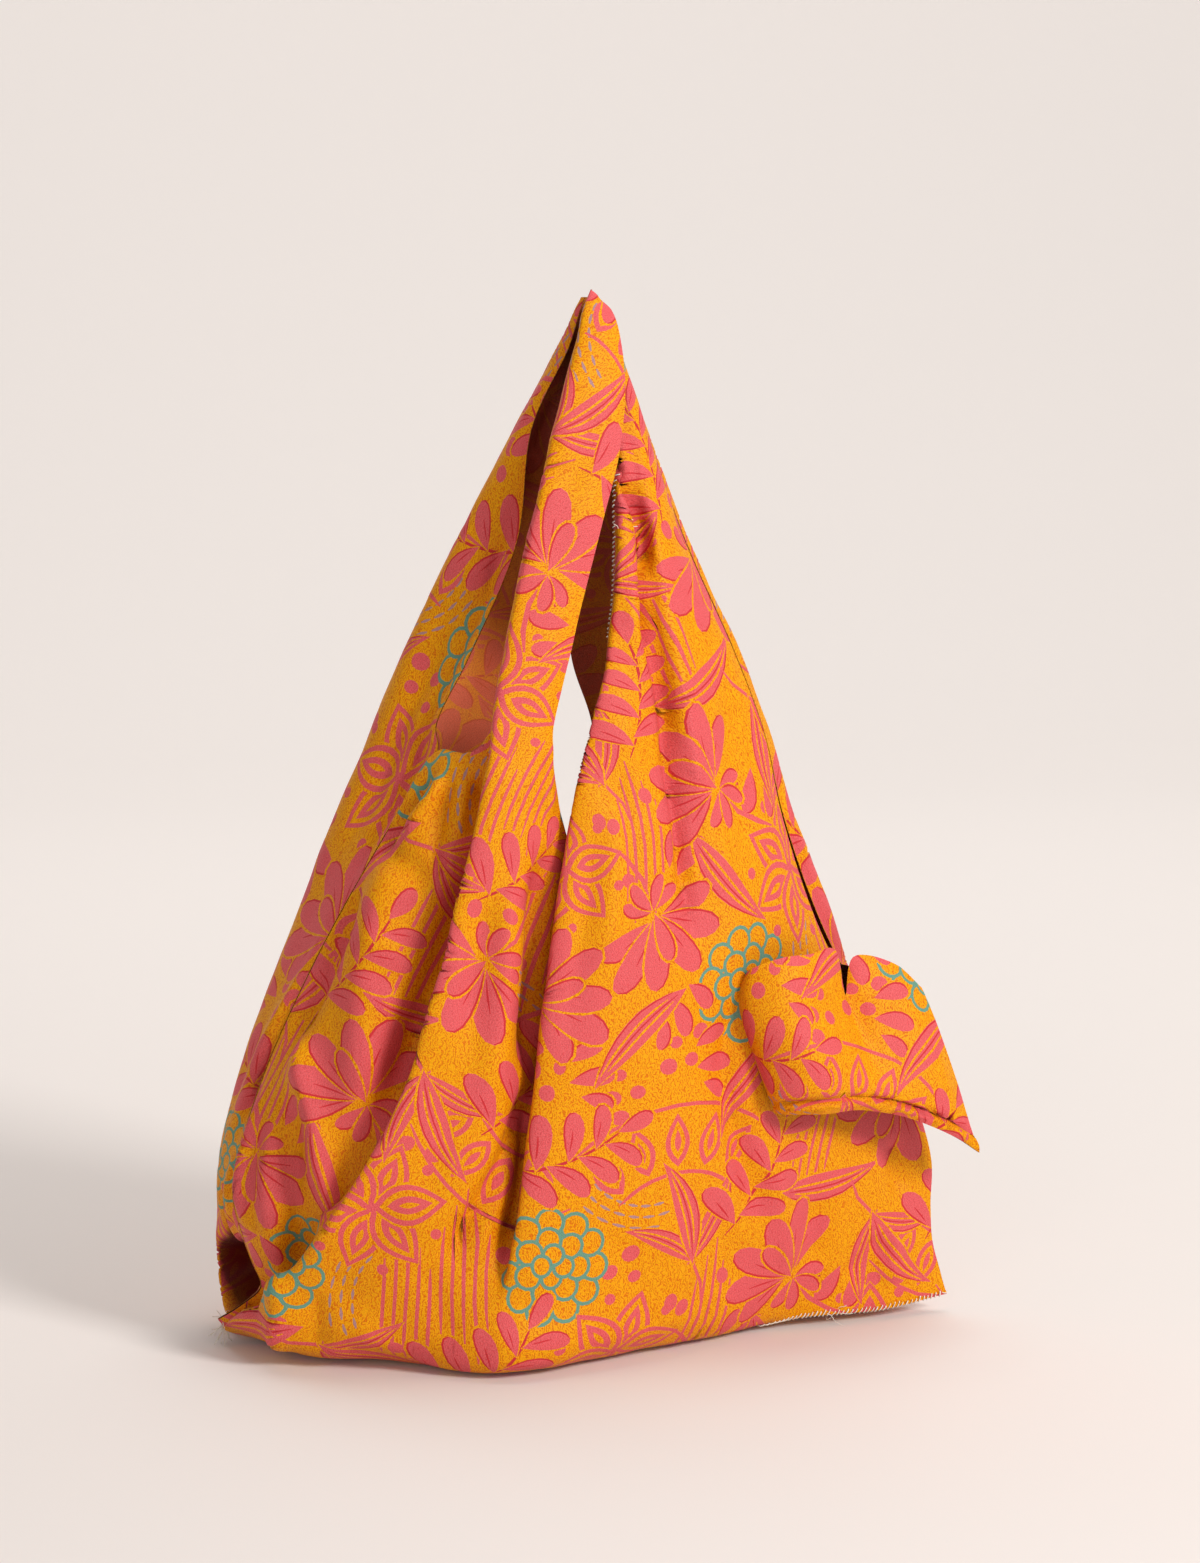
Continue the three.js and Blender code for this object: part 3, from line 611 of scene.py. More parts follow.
class FoldedSheet:
    """A sheet of cloth in its folds, with the same sheet laid flat."""

    def __init__(self, patches_at: PatchMaker, faces_back: bool = False) -> None:
        """Lay the sheet out.

        Args:
            patches_at: gives the sheet's patches for a number of grid steps.
            faces_back: whether its right side is the one turned to the bag's back.
        """
        coarse = patches_at(COARSE_STEPS)
        self.faces_back = faces_back
        self.fine = patches_at(FINE_STEPS)
        self.net = Net.joined(coarse)
        self.flat_points = self.lay_flat()
        halves = [self.net.cells[:, corners] for corners in ([0, 1, 2], [0, 2, 3])]
        self.flat_triangles = np.concatenate(halves)
        self.triangle_patch = np.tile(self.net.owners, 2)
        self.rows_and_folds = self.numbers(coarse)
        self.fine_flat = [
            resampled(resampled(self.flat_points[own], 0), 1) for own in self.net.ids
        ]
        # how shut in the cloth is, on a coarser grid, for the shade painted on its colour
        self.hollows: list[np.ndarray] = []

    def numbers(self, coarse: list[Patch]) -> list[np.ndarray]:
        """Give each point's row and fold number, patch by patch.

        Args:
            coarse: the sheet's coarse patches.

        Returns:
            For each patch, the row and fold of every point that it holds.
        """
        tables = []
        for patch, own in zip(coarse, self.net.ids):
            table = np.zeros((len(self.net.points), 2))
            rows, columns = own.shape
            up = patch.first_row + np.arange(rows) / COARSE_STEPS
            over = patch.first_fold + np.arange(columns) / COARSE_STEPS
            table[own.ravel(), 0] = np.repeat(up, columns)
            table[own.ravel(), 1] = np.tile(over, rows)
            tables.append(table)
        return tables

    def lay_flat(self) -> np.ndarray:
        """Unwrap the sheet with the least stretch, at real size and upright.

        Returns:
            The place of each point of the net on the flat sheet, in millimetres.
        """
        points, cells = self.net.points, self.net.cells
        mesh = bpy.data.meshes.new("flat")
        mesh.from_pydata((points * MM).tolist(), [], cells.tolist())
        piece = added("flat", mesh)
        bpy.ops.object.select_all(action="DESELECT")
        piece.select_set(True)
        bpy.context.view_layer.objects.active = piece
        bpy.ops.object.mode_set(mode="EDIT")
        bpy.ops.mesh.select_all(action="SELECT")
        bpy.ops.uv.unwrap(method="MINIMUM_STRETCH", margin=0.0)
        bpy.ops.object.mode_set(mode="OBJECT")
        loose = np.empty(len(mesh.loops) * 2)
        mesh.uv_layers[0].data.foreach_get("uv", loose)
        flat = np.zeros((len(points), 2))
        flat[loop_points(mesh)] = loose.reshape(-1, 2)
        bpy.data.objects.remove(piece)
        bpy.data.meshes.remove(mesh)
        drawn = np.column_stack([flat, np.zeros(len(flat))])
        scale = math.sqrt(cells_area(points, cells) / cells_area(drawn, cells))
        return self.stood_upright(flat * scale)

    def stood_upright(self, flat: np.ndarray) -> np.ndarray:
        """Turn the flat sheet so that its folds run up, with the bottom's middle at zero.

        Args:
            flat: each point's place on the flat sheet.

        Returns:
            The turned places.
        """
        bottom = flat[self.net.ids[0][0]]
        along = bottom[-1] - bottom[0]
        along /= np.linalg.norm(along)
        across = np.array([-along[1], along[0]])
        middle = (bottom[0] + bottom[-1]) / 2
        turned = np.column_stack([(flat - middle) @ along, (flat - middle) @ across])
        if turned[:, 1].mean() < 0:
            turned[:, 1] *= -1
        return turned

    def raise_creases(self, creases: tuple[Crease, ...], seed: int) -> None:
        """Raise and sink the fine patches along the creases and with a soft unevenness.

        Args:
            creases: the cloth's creases.
            seed: which unevenness to use.
        """
        outward = -1 if self.faces_back else 1
        last_fold = max(p.first_fold + (p.grid.shape[1] - 1) / FINE_STEPS for p in self.fine)
        for patch, flat, normal in zip(self.fine, self.fine_flat, self.normals()):
            height = RIPPLE * ripple(flat, seed) + sum(c.heights(flat) for c in creases)
            folds = patch.first_fold + np.arange(patch.grid.shape[1]) / FINE_STEPS
            height *= soft_step(np.minimum(folds, last_fold - folds) / SEWN_SHARE)
            patch.grid = patch.grid + normal * height[..., None] * outward
            patch.grid[..., 2] = np.maximum(patch.grid[..., 2], LIFT)

    def normals(self) -> list[np.ndarray]:
        """Give the mean direction that the sheet faces at each fine point.

        Returns:
            The directions, patch by patch.
        """
        net = Net.joined(self.fine)
        crosses = diagonals_crossed(net.points, net.cells)
        total = np.zeros_like(net.points)
        for corner in range(4):
            np.add.at(total, net.cells[:, corner], crosses)
        facing = unit(total)
        return [facing[own] for own in net.ids]

    def sharp_places(self) -> np.ndarray:
        """Give the flat places where the cloth turns sharply.

        Returns:
            The places, one for each small triangle.
        """
        found = []
        for flat, normal in zip(self.fine_flat, self.normals()):
            turn = np.einsum("ijk,ijk->ij", normal[:, 1:], normal[:, :-1])
            angle = np.degrees(np.arccos(np.clip(turn, -1, 1)))
            gap = np.linalg.norm(flat[:, 1:] - flat[:, :-1], axis=2)
            found.append(flat[:, 1:][angle > SHARP * gap])
        places = np.concatenate(found)
        _, first = np.unique(np.floor(places / SHARP_TRIANGLE), axis=0, return_index=True)
        return places[np.sort(first)]

    def outline(self) -> np.ndarray:
        """Give the flat sheet's outline, anticlockwise.

        Returns:
            The outline's points.
        """
        edges: dict[tuple[int, int], None] = {}
        for cell in self.net.cells.tolist():
            for start, end in zip(cell, cell[1:] + cell[:1]):
                if (end, start) in edges:
                    del edges[end, start]
                else:
                    edges[start, end] = None
        follow = dict(edges.keys())
        start = next(iter(follow))
        loop = [start]
        while follow[loop[-1]] != start:
            loop.append(follow[loop[-1]])
        return anticlockwise(self.flat_points[loop])

    def lift(self, flat: np.ndarray) -> tuple[np.ndarray, np.ndarray, np.ndarray]:
        """Find where flat places are on the folded sheet.

        Args:
            flat: places on the flat sheet.

        Returns:
            The points in the folds, the directions that the sheet faces there, and how shut in
            its two sides are, for the shade painted on the cloth.
        """
        spread = np.column_stack([self.flat_points, np.zeros(len(self.flat_points))])
        tree = bvhtree.BVHTree.FromPolygons(spread.tolist(), self.flat_triangles.tolist())
        found = [tree.find_nearest((u, v, 0.0)) for u, v in flat.tolist()]
        triangle = np.array([hit[2] for hit in found])
        place = np.array([hit[0][:2] for hit in found])
        weights = corner_weights(place, self.flat_points[self.flat_triangles[triangle]])
        normals = self.normals()
        points = np.zeros((len(flat), 3))
        facing = np.zeros((len(flat), 3))
        hollow = np.zeros((len(flat), 2))
        for number, patch in enumerate(self.fine):
            mine = self.triangle_patch[triangle] == number
            corners = self.rows_and_folds[number][self.flat_triangles[triangle[mine]]]
            where = (weights[mine][..., None] * corners).sum(axis=1)
            where = (where - (patch.first_row, patch.first_fold)) * FINE_STEPS
            points[mine] = between(patch.grid, where)
            facing[mine] = between(normals[number], where)
            hollow[mine] = between(self.hollows[number], where / HOLLOW_STEP)
        return points, unit(facing), hollow


def added(name: str, data: bpy.types.ID) -> bpy.types.Object:
    """Make an object of a mesh, a light or a camera and add it to the scene.

    Args:
        name: the object's name.
        data: what it is made of.

    Returns:
        The object.
    """
    piece = bpy.data.objects.new(name, data)
    bpy.context.collection.objects.link(piece)
    return piece


def smooth_mesh(name: str, points: np.ndarray, faces: list[list[int]]) -> bpy.types.Mesh:
    """Make a mesh with smooth shading, its points in metres.

    Args:
        name: the mesh's name.
        points: its points.
        faces: the point numbers at each face's corners.

    Returns:
        The mesh.
    """
    mesh = bpy.data.meshes.new(name)
    mesh.from_pydata(points.tolist(), [], faces)
    mesh.polygons.foreach_set("use_smooth", [True] * len(faces))
    return mesh


def loop_points(mesh: bpy.types.Mesh) -> np.ndarray:
    """Give the point number at each face corner of a mesh.

    Args:
        mesh: the mesh.

    Returns:
        The numbers, in the order of its loops.
    """
    points = np.empty(len(mesh.loops), dtype=np.int64)
    mesh.loops.foreach_get("vertex_index", points)
    return points


def grid_cells(ids: np.ndarray) -> np.ndarray:
    """Give the four corners of each cell of a grid of point numbers."""
    corners = [ids[:-1, :-1], ids[:-1, 1:], ids[1:, 1:], ids[1:, :-1]]
    return np.stack(corners, axis=-1).reshape(-1, 4)


def measure_hollows(sheets: list[FoldedSheet]) -> None:
    """Measure how shut in the cloth is at each place of some sheets, on both its sides, for the
    shade painted on its colour.

    Args:
        sheets: all the sheets of the bag.
    """
    step = slice(None, None, HOLLOW_STEP)
    points: list[list[float]] = []
    faces: list[list[int]] = []
    for sheet in sheets:
        for patch in sheet.fine:
            grid = patch.grid[step, step]
            rows, columns = grid.shape[:2]
            own = len(points) + np.arange(rows * columns).reshape(rows, columns)
            faces += grid_cells(own).tolist()
            points += grid.reshape(-1, 3).tolist()
    tree = bvhtree.BVHTree.FromPolygons(points, faces)
    for sheet in sheets:
        weights = (1.0, BACK_PAINTED_SHADE_WEIGHT) if sheet.faces_back else (FRONT_PAINTED_SHADE_WEIGHT, 1.0)
        for patch, normals in zip(sheet.fine, sheet.normals()):
            places, facing = patch.grid[step, step], normals[step, step]
            sides = [shut_in(tree, places, facing) * weights[0],
                     shut_in(tree, places, -facing) * weights[1]]
            sheet.hollows.append(np.minimum(np.stack(sides, axis=-1), 1))


def shut_in(tree: bvhtree.BVHTree, places: np.ndarray, facing: np.ndarray) -> np.ndarray:
    """Say how much of what a grid of places faces is cloth close by, from 0 to 1.

    Args:
        tree: all the cloth.
        places: the places.
        facing: the direction that each faces.

    Returns:
        The share for each place.
    """
    number = np.arange(RAYS) + 0.5
    height = 1 - 2 * number / RAYS
    turn = number * math.pi * (3 - math.sqrt(5))
    ring = np.sqrt(1 - height**2)
    rays = np.column_stack([ring * np.cos(turn), ring * np.sin(turn), height])
    weights = facing.reshape(-1, 3) @ rays.T
    start = places.reshape(-1, 3) + facing.reshape(-1, 3) * RAY_START
    ways = [Vector(ray) for ray in rays.tolist()]
    shares = []
    for place, weight in zip(start.tolist(), weights):
        lost = 0.0
        ahead = np.flatnonzero(weight > GRAZING)
        for ray in ahead.tolist():
            gap = tree.ray_cast(place, ways[ray], HOLLOW_REACH)[3]
            if gap is not None:
                lost += float(weight[ray]) * (1 - gap / HOLLOW_REACH)
        shares.append(lost / float(weight[ahead].sum()))
    return np.array(shares).reshape(places.shape[:2])


def diagonals_crossed(points: np.ndarray, cells: np.ndarray) -> np.ndarray:
    """Give the cross product of each cell's diagonals, which is twice its area long.

    Args:
        points: the points.
        cells: the point numbers at each cell's four corners.

    Returns:
        One vector for each cell.
    """
    first = points[cells[:, 2]] - points[cells[:, 0]]
    second = points[cells[:, 3]] - points[cells[:, 1]]
    return np.cross(first, second)


def cells_area(points: np.ndarray, cells: np.ndarray) -> float:
    """Add up the areas of four-sided cells."""
    return float((np.linalg.norm(diagonals_crossed(points, cells), axis=1) / 2).sum())


def signed_area(outline: np.ndarray) -> float:
    """Give an outline's area, positive if it runs anticlockwise."""
    x, y = outline[:, 0], outline[:, 1]
    return float((x * np.roll(y, -1) - y * np.roll(x, -1)).sum() / 2)


def anticlockwise(outline: np.ndarray) -> np.ndarray:
    """Turn an outline round if it runs clockwise."""
    return outline if signed_area(outline) > 0 else outline[::-1]


def resampled(values: np.ndarray, axis: int) -> np.ndarray:
    """Bring a coarse grid to the fine steps along one axis.

    Args:
        values: the coarse grid.
        axis: the axis.

    Returns:
        The grid, finer along it.
    """
    turned = np.moveaxis(values, axis, 0)
    count = turned.shape[0] - 1
    ratio = FINE_STEPS // COARSE_STEPS
    where = np.arange(count * ratio + 1) / ratio
    low = np.minimum(where.astype(int), count - 1)
    part = (where - low).reshape(-1, *[1] * (turned.ndim - 1))
    return np.moveaxis(turned[low] * (1 - part) + turned[low + 1] * part, 0, axis)


def corner_weights(place: np.ndarray, corners: np.ndarray) -> np.ndarray:
    """Give the weights of a triangle's corners at places in it.

    Args:
        place: one place for each triangle.
        corners: the triangles' corners.

    Returns:
        Three weights for each place, which add up to 1.
    """
    a, b, c = corners[:, 0], corners[:, 1], corners[:, 2]
    whole = np.cross(b - a, c - a)
    second = np.cross(place - a, c - a) / whole
    third = np.cross(b - a, place - a) / whole
    return np.column_stack([1 - second - third, second, third])


def between(grid: np.ndarray, where: np.ndarray) -> np.ndarray:
    """Read a grid between its points, at places in grid steps.

    Args:
        grid: the grid.
        where: the places.

    Returns:
        What the grid holds there.
    """
    limit = np.array(grid.shape[:2]) - 1
    where = np.clip(where, 0, limit - 1e-6)
    low = where.astype(int)
    part = where - low
    row, column = low[:, 0], low[:, 1]
    up, over = part[:, :1], part[:, 1:]
    near = grid[row, column] * (1 - over) + grid[row, column + 1] * over
    far = grid[row + 1, column] * (1 - over) + grid[row + 1, column + 1] * over
    return near * (1 - up) + far * up


def across_folds(lines: np.ndarray, steps: int) -> np.ndarray:
    """Fill in the sheet between its fold lines, nowhere below the floor.

    Args:
        lines: the fold lines' points, row by row.
        steps: grid steps between two folds.

    Returns:
        The grid.
    """
    lines = lines.copy()
    lines[..., 2] = np.maximum(lines[..., 2], LIFT)
    grid = smooth_lines(lines.transpose(1, 0, 2), steps).transpose(1, 0, 2)
    grid[..., 2] = np.maximum(grid[..., 2], LIFT)
    return grid


def beside_seam(seam: Fold, rows: int, gap: Place, hem: Fold) -> np.ndarray:
    """Give a back side hem: beside the front's along the seam, then on its own."""
    return np.concatenate([seam.points()[:rows] + gap, hem.points(rows)])


@dataclass(frozen=True)
class Panel:
    """A panel with its two handle halves: its fold lines, its mouth and its creases."""

    left: list[np.ndarray]  # points of the fold lines left of the mouth, the side hem first
    valley: Fold  # the fold line below the mouth
    mouth_left: Fold  # the mouth's left hem
    mouth_right: Fold  # the mouth's right hem
    right: list[np.ndarray]  # points of the fold lines right of the mouth, the side hem last
    creases: tuple[Crease, ...]
    seed: int  # which unevenness it has
    faces_back: bool = False

    def sheet(self) -> FoldedSheet:
        """Lay the panel out and crease it."""
        sheet = FoldedSheet(self.patches, self.faces_back)
        sheet.raise_creases(self.creases, self.seed)
        return sheet

    def patches(self, steps: int) -> list[Patch]:
        """Give the whole cloth below the mouth, then its left and its right half.

        Args:
            steps: grid steps between two folds or rows.

        Returns:
            The three patches.
        """
        lines_left = smooth_lines(np.stack(self.left, axis=1), steps)
        lines_right = smooth_lines(np.stack(self.right, axis=1), steps)
        low = smooth_lines(self.valley.points()[:, None], steps)
        hem_left = smooth_lines(self.mouth_left.points(NOTCH_ROW)[:, None], steps)
        hem_right = smooth_lines(self.mouth_right.points(NOTCH_ROW)[:, None], steps)
        notch = NOTCH_ROW * steps
        below = np.concatenate([lines_left[:notch + 1], low, lines_right[:notch + 1]], axis=1)
        whole = across_folds(below, steps)
        left_half = across_folds(np.concatenate([lines_left[notch:], hem_left], axis=1), steps)
        right_half = across_folds(np.concatenate([hem_right, lines_right[notch:]], axis=1), steps)
        left_half[0] = whole[-1, :left_half.shape[1]]
        right_half[0] = whole[-1, -right_half.shape[1]:]
        return [
            Patch(whole, 0, 0),
            Patch(left_half, NOTCH_ROW, 0),
            Patch(right_half, NOTCH_ROW, len(self.left)),
        ]


@dataclass(frozen=True)
class PouchLayer:
    """A layer of the pouch: its lines from the hem down to the foot, each its x, y and z."""

    lines: tuple[tuple[tuple[float, ...], ...], ...]
    faces_back: bool = False

    def sheet(self) -> FoldedSheet:
        """Lay the layer out."""
        return FoldedSheet(self.patches, self.faces_back)

    def patches(self, steps: int) -> list[Patch]:
        """Give the layer's one patch, from its foot up to its hem.

        Args:
            steps: grid steps between two folds or rows.

        Returns:
            The patch, in a list.
        """
        grid = np.array(self.lines, dtype=float).transpose(0, 2, 1)[::-1]
        across = smooth_lines(grid.transpose(1, 0, 2), steps).transpose(1, 0, 2)
        return [Patch(smooth_lines(across, steps), 0, 0)]


def front_panel() -> Panel:
    """Gather the front panel's fold lines.

    Returns:
        The panel.
    """
    left = [fold.points() for fold in FRONT_LEFT]
    right = [fold.points() for fold in FRONT_RIGHT]
    return Panel(
        left, FRONT_VALLEY, FRONT_MOUTH_LEFT, FRONT_MOUTH_RIGHT, right, FRONT_CREASES, seed=3,
    )


def back_panel() -> Panel:
    """Gather the back panel's fold lines, with its side hems at the front's.

    Returns:
        The panel.
    """
    left_hem = beside_seam(FRONT_LEFT[0], LEFT_SEAM_ROWS, LEFT_SEAM_GAP, BACK_SIDE_HEM)
    right_hem = beside_seam(FRONT_RIGHT[-1], RIGHT_SEAM_ROWS, RIGHT_SEAM_GAP, BACK_RIGHT_HEM)
    left = [left_hem] + [fold.points() for fold in BACK_LEFT]
    right = [fold.points() for fold in BACK_RIGHT] + [right_hem]
    return Panel(
        left, BACK_VALLEY, BACK_MOUTH_LEFT, BACK_MOUTH_RIGHT, right, BACK_CREASES, seed=5,
        faces_back=True,
    )


class Ink(IntEnum):
    """The print's colours."""

    GROUND = 0
    PINK = 1
    LINE = 2
    TEAL = 3
    GREY = 4


@dataclass(frozen=True)
class Shape:
    """A closed outline in one ink, in flat millimetres."""

    ink: Ink
    outline: np.ndarray

    def placed(self, at: Spot, turn: float = 0, size: float = 1) -> "Shape":
        """Give a turned, scaled and moved copy.

        Args:
            at: where the motif's own zero goes.
            turn: degrees anticlockwise.
            size: the scale.

        Returns:
            The copy.
        """
        angle = math.radians(turn)
        along = np.array([math.cos(angle), math.sin(angle)])
        across = np.array([-along[1], along[0]])
        moved = self.outline[:, :1] * along + self.outline[:, 1:] * across
        return Shape(self.ink, moved * size + at)


CURVE_WIDTH = 1.54  # width of a teardrop's curve before it is brought to size
BLADE_BELLY = 0.85  # under 1, a blade is widest nearer its stem
HALO = (3.2, 3.4)  # how much longer and wider than a petal the gap of ground round it is
HALO_DROP = 1.4  # how far the gap begins below the petal
WIDE_PETAL = 12  # width from which a petal has a rib


def moved(shapes: list[Shape], at: Spot) -> list[Shape]:
    """Move a motif."""
    return [shape.placed(at) for shape in shapes]


def teardrop(length: float, width: float, lean: float = 0.0, points: int = 18) -> np.ndarray:
    """Draw a petal with its point at zero and its round end up.

    Args:
        length: its length.
        width: its width.
        lean: how far its end is to the right.
        points: the number of points.

    Returns:
        The outline.
    """
    turn = np.arange(points) / points * 2 * math.pi
    up = (1 - np.cos(turn)) / 2
    across = -np.sin(turn) * np.sin(turn / 2) * width / CURVE_WIDTH
    return np.column_stack([across + lean * up * up, up * length])


def blade_sides(along: np.ndarray, width: float, lean: float) -> tuple[np.ndarray, np.ndarray]:
    """Give a pointed leaf's middle and half its width, at shares of its length."""
    return lean * 4 * along * (1 - along), np.sin(math.pi * along**BLADE_BELLY) * width / 2


def blade(length: float, width: float, lean: float = 0.0, points: int = 9) -> np.ndarray:
    """Draw a leaf that is pointed at both ends, bent to one side.

    Args:
        length: its length.
        width: its width.
        lean: how far its middle bends to the right.
        points: the number of points of a side.

    Returns:
        The outline.
    """
    along = np.linspace(0, 1, points)
    middle, half = blade_sides(along, width, lean)
    right = np.column_stack([middle + half, along * length])
    left = np.column_stack([middle - half, along * length])
    return np.concatenate([right, left[-2:0:-1]])


def stroke(line: np.ndarray, width: float) -> np.ndarray:
    """Draw a line with narrower ends.

    Args:
        line: its points.
        width: its width.

    Returns:
        The outline.
    """
    step = np.gradient(line, axis=0)
    side = unit(np.column_stack([-step[:, 1], step[:, 0]]))
    half = np.full((len(line), 1), width / 2)
    half[0] = half[-1] = width / 5
    return np.concatenate([line - side * half, (line + side * half)[::-1]])


def disc(radius: float, points: int = 12) -> np.ndarray:
    """Draw a round dot."""
    turn = np.arange(points) / points * 2 * math.pi
    return np.column_stack([np.cos(turn), np.sin(turn)]) * radius


def arc(radius: float, start: float, end: float, points: int = 7) -> np.ndarray:
    """Give points on part of a circle, between two angles in degrees."""
    turn = np.radians(np.linspace(start, end, points))
    return np.column_stack([np.cos(turn), np.sin(turn)]) * radius


def on_circle(radius: float, turn: float) -> np.ndarray:
    """Give one point on a circle, at an angle in degrees."""
    return arc(radius, turn, turn, 1)[0]


def petal(length: float, width: float, lean: float = 0.0) -> list[Shape]:
    """Draw a pink petal with a darker line along one side, on a narrow gap of ground.

    Args:
        length: its length.
        width: its width.
        lean: how far its end is to the right.

    Returns:
        The shapes, the topmost last.
    """
    halo = teardrop(length + HALO[0], width + HALO[1], lean, 14) - (0, HALO_DROP)
    body = teardrop(length, width, lean, 16)
    shapes = [Shape(Ink.GROUND, halo), Shape(Ink.PINK, body)]
    shapes.append(Shape(Ink.LINE, stroke(body[2:9] * (0.97, 0.99), 1.2)))
    if width > WIDE_PETAL:
        rise = np.linspace(0.2, 0.62, 4)
        rib = np.column_stack([lean * rise * rise - width * 0.08, rise * length])
        shapes.append(Shape(Ink.LINE, stroke(rib, 1.0)))
    return shapes


def gathered(parts: list[tuple[list[Shape], Spot, float, float]]) -> list[Shape]:
    """Join small motifs, each with its place, turn and size, into one."""
    return [shape.placed(at, turn, size) for shapes, at, turn, size in parts for shape in shapes]


def fan_flower() -> list[Shape]:
    """Draw a flower seen from the side, with petals in a fan over a cup of small leaves.

    Returns:
        The shapes, the topmost last.
    """
    outer = [(petal(42, 15, 6), (0, 4), -76, 1), (petal(42, 15, -6), (0, 4), 76, 1)]
    middle = [(petal(50, 18, 4), (0, 2), -46, 1), (petal(48, 17, -4), (0, 2), 46, 1)]
    front = [(petal(47, 17, 2), (0, 0), -17, 1), (petal(50, 17, -2), (0, 0), 15, 1)]
    heart = [(petal(32, 11), (0, 0), 0, 1)]
    cup = [(petal(22, 9, 4), (0, -2), turn, 1) for turn in (-114, 112, -152, 148)]
    stem = np.array([(0, 0), (-2, -14), (1, -30), (6, -42)])
    parts = [([Shape(Ink.PINK, stroke(stem, 3.0))], (0, -8), 0, 1)]
    return moved(gathered(parts + outer + middle + front + heart + cup), (0, -14))


def leaf_spray() -> list[Shape]:
    """Draw a bent stem with round-ended leaves to both sides.

    Returns:
        The shapes, the topmost last.
    """
    bend, turn, length = 14, 2.2, 84
    rise = np.linspace(0, 1, 7)
    line = np.column_stack([bend * np.sin(rise * turn), rise * length])
    parts = [([Shape(Ink.LINE, stroke(line, 1.8))], (0, 0), 0, 1)]
    for number, up in enumerate((0.1, 0.33, 0.55, 0.76)):
        x, y = bend * math.sin(up * turn), up * length
        size = 1.12 - 0.42 * up
        lean = 56 - 14 * up
        parts.append((petal(34, 14, -6), (x, y), lean, size))
        parts.append((petal(34, 14, 6), (x, y + 6), -lean, size * (0.9 + 0.03 * number)))
    parts.append((petal(24, 11), (bend * math.sin(turn), 80), -4, 1))
    return moved(gathered(parts), (-6, -48))


def striped_leaf() -> list[Shape]:
    """Draw a long pointed leaf with stripes along it.

    Returns:
        The shapes, the topmost last.
    """
    length, width, lean = 86, 20, 8
    shapes = [
        Shape(Ink.GROUND, blade(length + 4, width + 4, lean) - (0, 2)),
        Shape(Ink.PINK, blade(length, width, lean)),
    ]
    stripes = (  # share of the half width, from and to which share of the length, ink
        (-0.36, 0.14, 0.84, Ink.GROUND),
        (0.3, 0.16, 0.9, Ink.GROUND),
        (0.0, 0.08, 0.8, Ink.LINE),
        (0.9, 0.1, 0.9, Ink.LINE),
    )
    for share, low, high, ink in stripes:
        along = np.linspace(low, high, 7)
        middle, half = blade_sides(along, width, lean)
        line = np.column_stack([middle + half * share, along * length])
        shapes.append(Shape(ink, stroke(line, 1.7 if ink == Ink.GROUND else 1.1)))
    return moved(shapes, (-4, -43))


def leaf_pair() -> list[Shape]:
    """Draw three striped leaves on a thin stem.

    Returns:
        The shapes, the topmost last.
    """
    stem = np.array([(0.0, -30), (3, -14), (0, 2), (-2, 16)])
    return gathered([
        ([Shape(Ink.PINK, stroke(stem, 2.4))], (0, -16), 0, 1),
        (striped_leaf(), (20, 12), -42, 0.8),
        (striped_leaf(), (-18, 10), 46, 0.7),
        (striped_leaf(), (0, 26), 4, 0.9),
    ])


def nested_ovals() -> list[Shape]:
    """Draw pointed ovals around a point, each with a smaller one inside.

    Returns:
        The shapes, the topmost last.
    """
    one = [
        Shape(Ink.GROUND, blade(50, 33) - (0, 1)),
        Shape(Ink.PINK, blade(48, 29)),
        Shape(Ink.GROUND, blade(39, 21.5) + (0, 4.6)),
        Shape(Ink.PINK, blade(29, 12.5) + (0, 9.6)),
        Shape(Ink.GROUND, blade(14, 4.2, points=6) + (0, 17)),
    ]
    bud = [Shape(Ink.PINK, disc(3.8, 10))]
    parts = [(one, (0, 0), turn, 1) for turn in (0, 60, 120, 180, 240, 300)]
    parts += [(bud, on_circle(44, turn), 0, 1) for turn in range(0, 360, 60)]
    return gathered(parts + [(bud, (0, 0), 0, 1)])


def oval_band() -> list[Shape]:
    """Draw a bow of upright ovals between two bent lines.

    Returns:
        The shapes, the topmost last.
    """
    oval = [
        Shape(Ink.PINK, blade(33, 17)),
        Shape(Ink.GROUND, blade(24, 10.5) + (0, 4.4)),
        Shape(Ink.PINK, blade(14, 4.6, points=6) + (0, 9)),
    ]
    parts = [
        ([Shape(Ink.PINK, stroke(arc(radius, 48, 132, 11), 2.4))], (0, 0), 0, 1)
        for radius in (58, 100)
    ]
    for turn in (-36, -18, 0, 18, 36):
        parts.append((oval, on_circle(62, 90 + turn), turn, 1))
    return moved(gathered(parts), (0, -80))


def line_bundle() -> list[Shape]:
    """Draw long lines side by side, of unlike lengths.

    Returns:
        The shapes, the topmost last.
    """
    shapes = []
    for number, (low, high) in enumerate(((-38, 30), (-52, 44), (-42, 54), (-54, 38), (-34, 24))):
        rise = np.linspace(low, high, 6)
        line = np.column_stack([number * 7.0 - 14 + 2.5 * np.sin(rise * 0.035), rise])
        shapes.append(Shape(Ink.PINK, stroke(line, 2.2)))
    return shapes


def loose_petal() -> list[Shape]:
    """Draw three small petals in a row.

    Returns:
        The shapes, the topmost last.
    """
    return gathered([
        (petal(24, 11, 3), (-11, -10), 14, 1),
        (petal(27, 12, 3), (2, -12), -8, 1),
        (petal(21, 10, 3), (13, -9), -34, 1),
    ])


def dots() -> list[Shape]:
    """Draw three dots of unlike sizes."""
    places = ((-9, -5, 4.2), (6, -7, 5.6), (1, 9, 4.8))
    return [Shape(Ink.PINK, disc(radius) * (0.9, 1.1) + (x, y)) for x, y, radius in places]


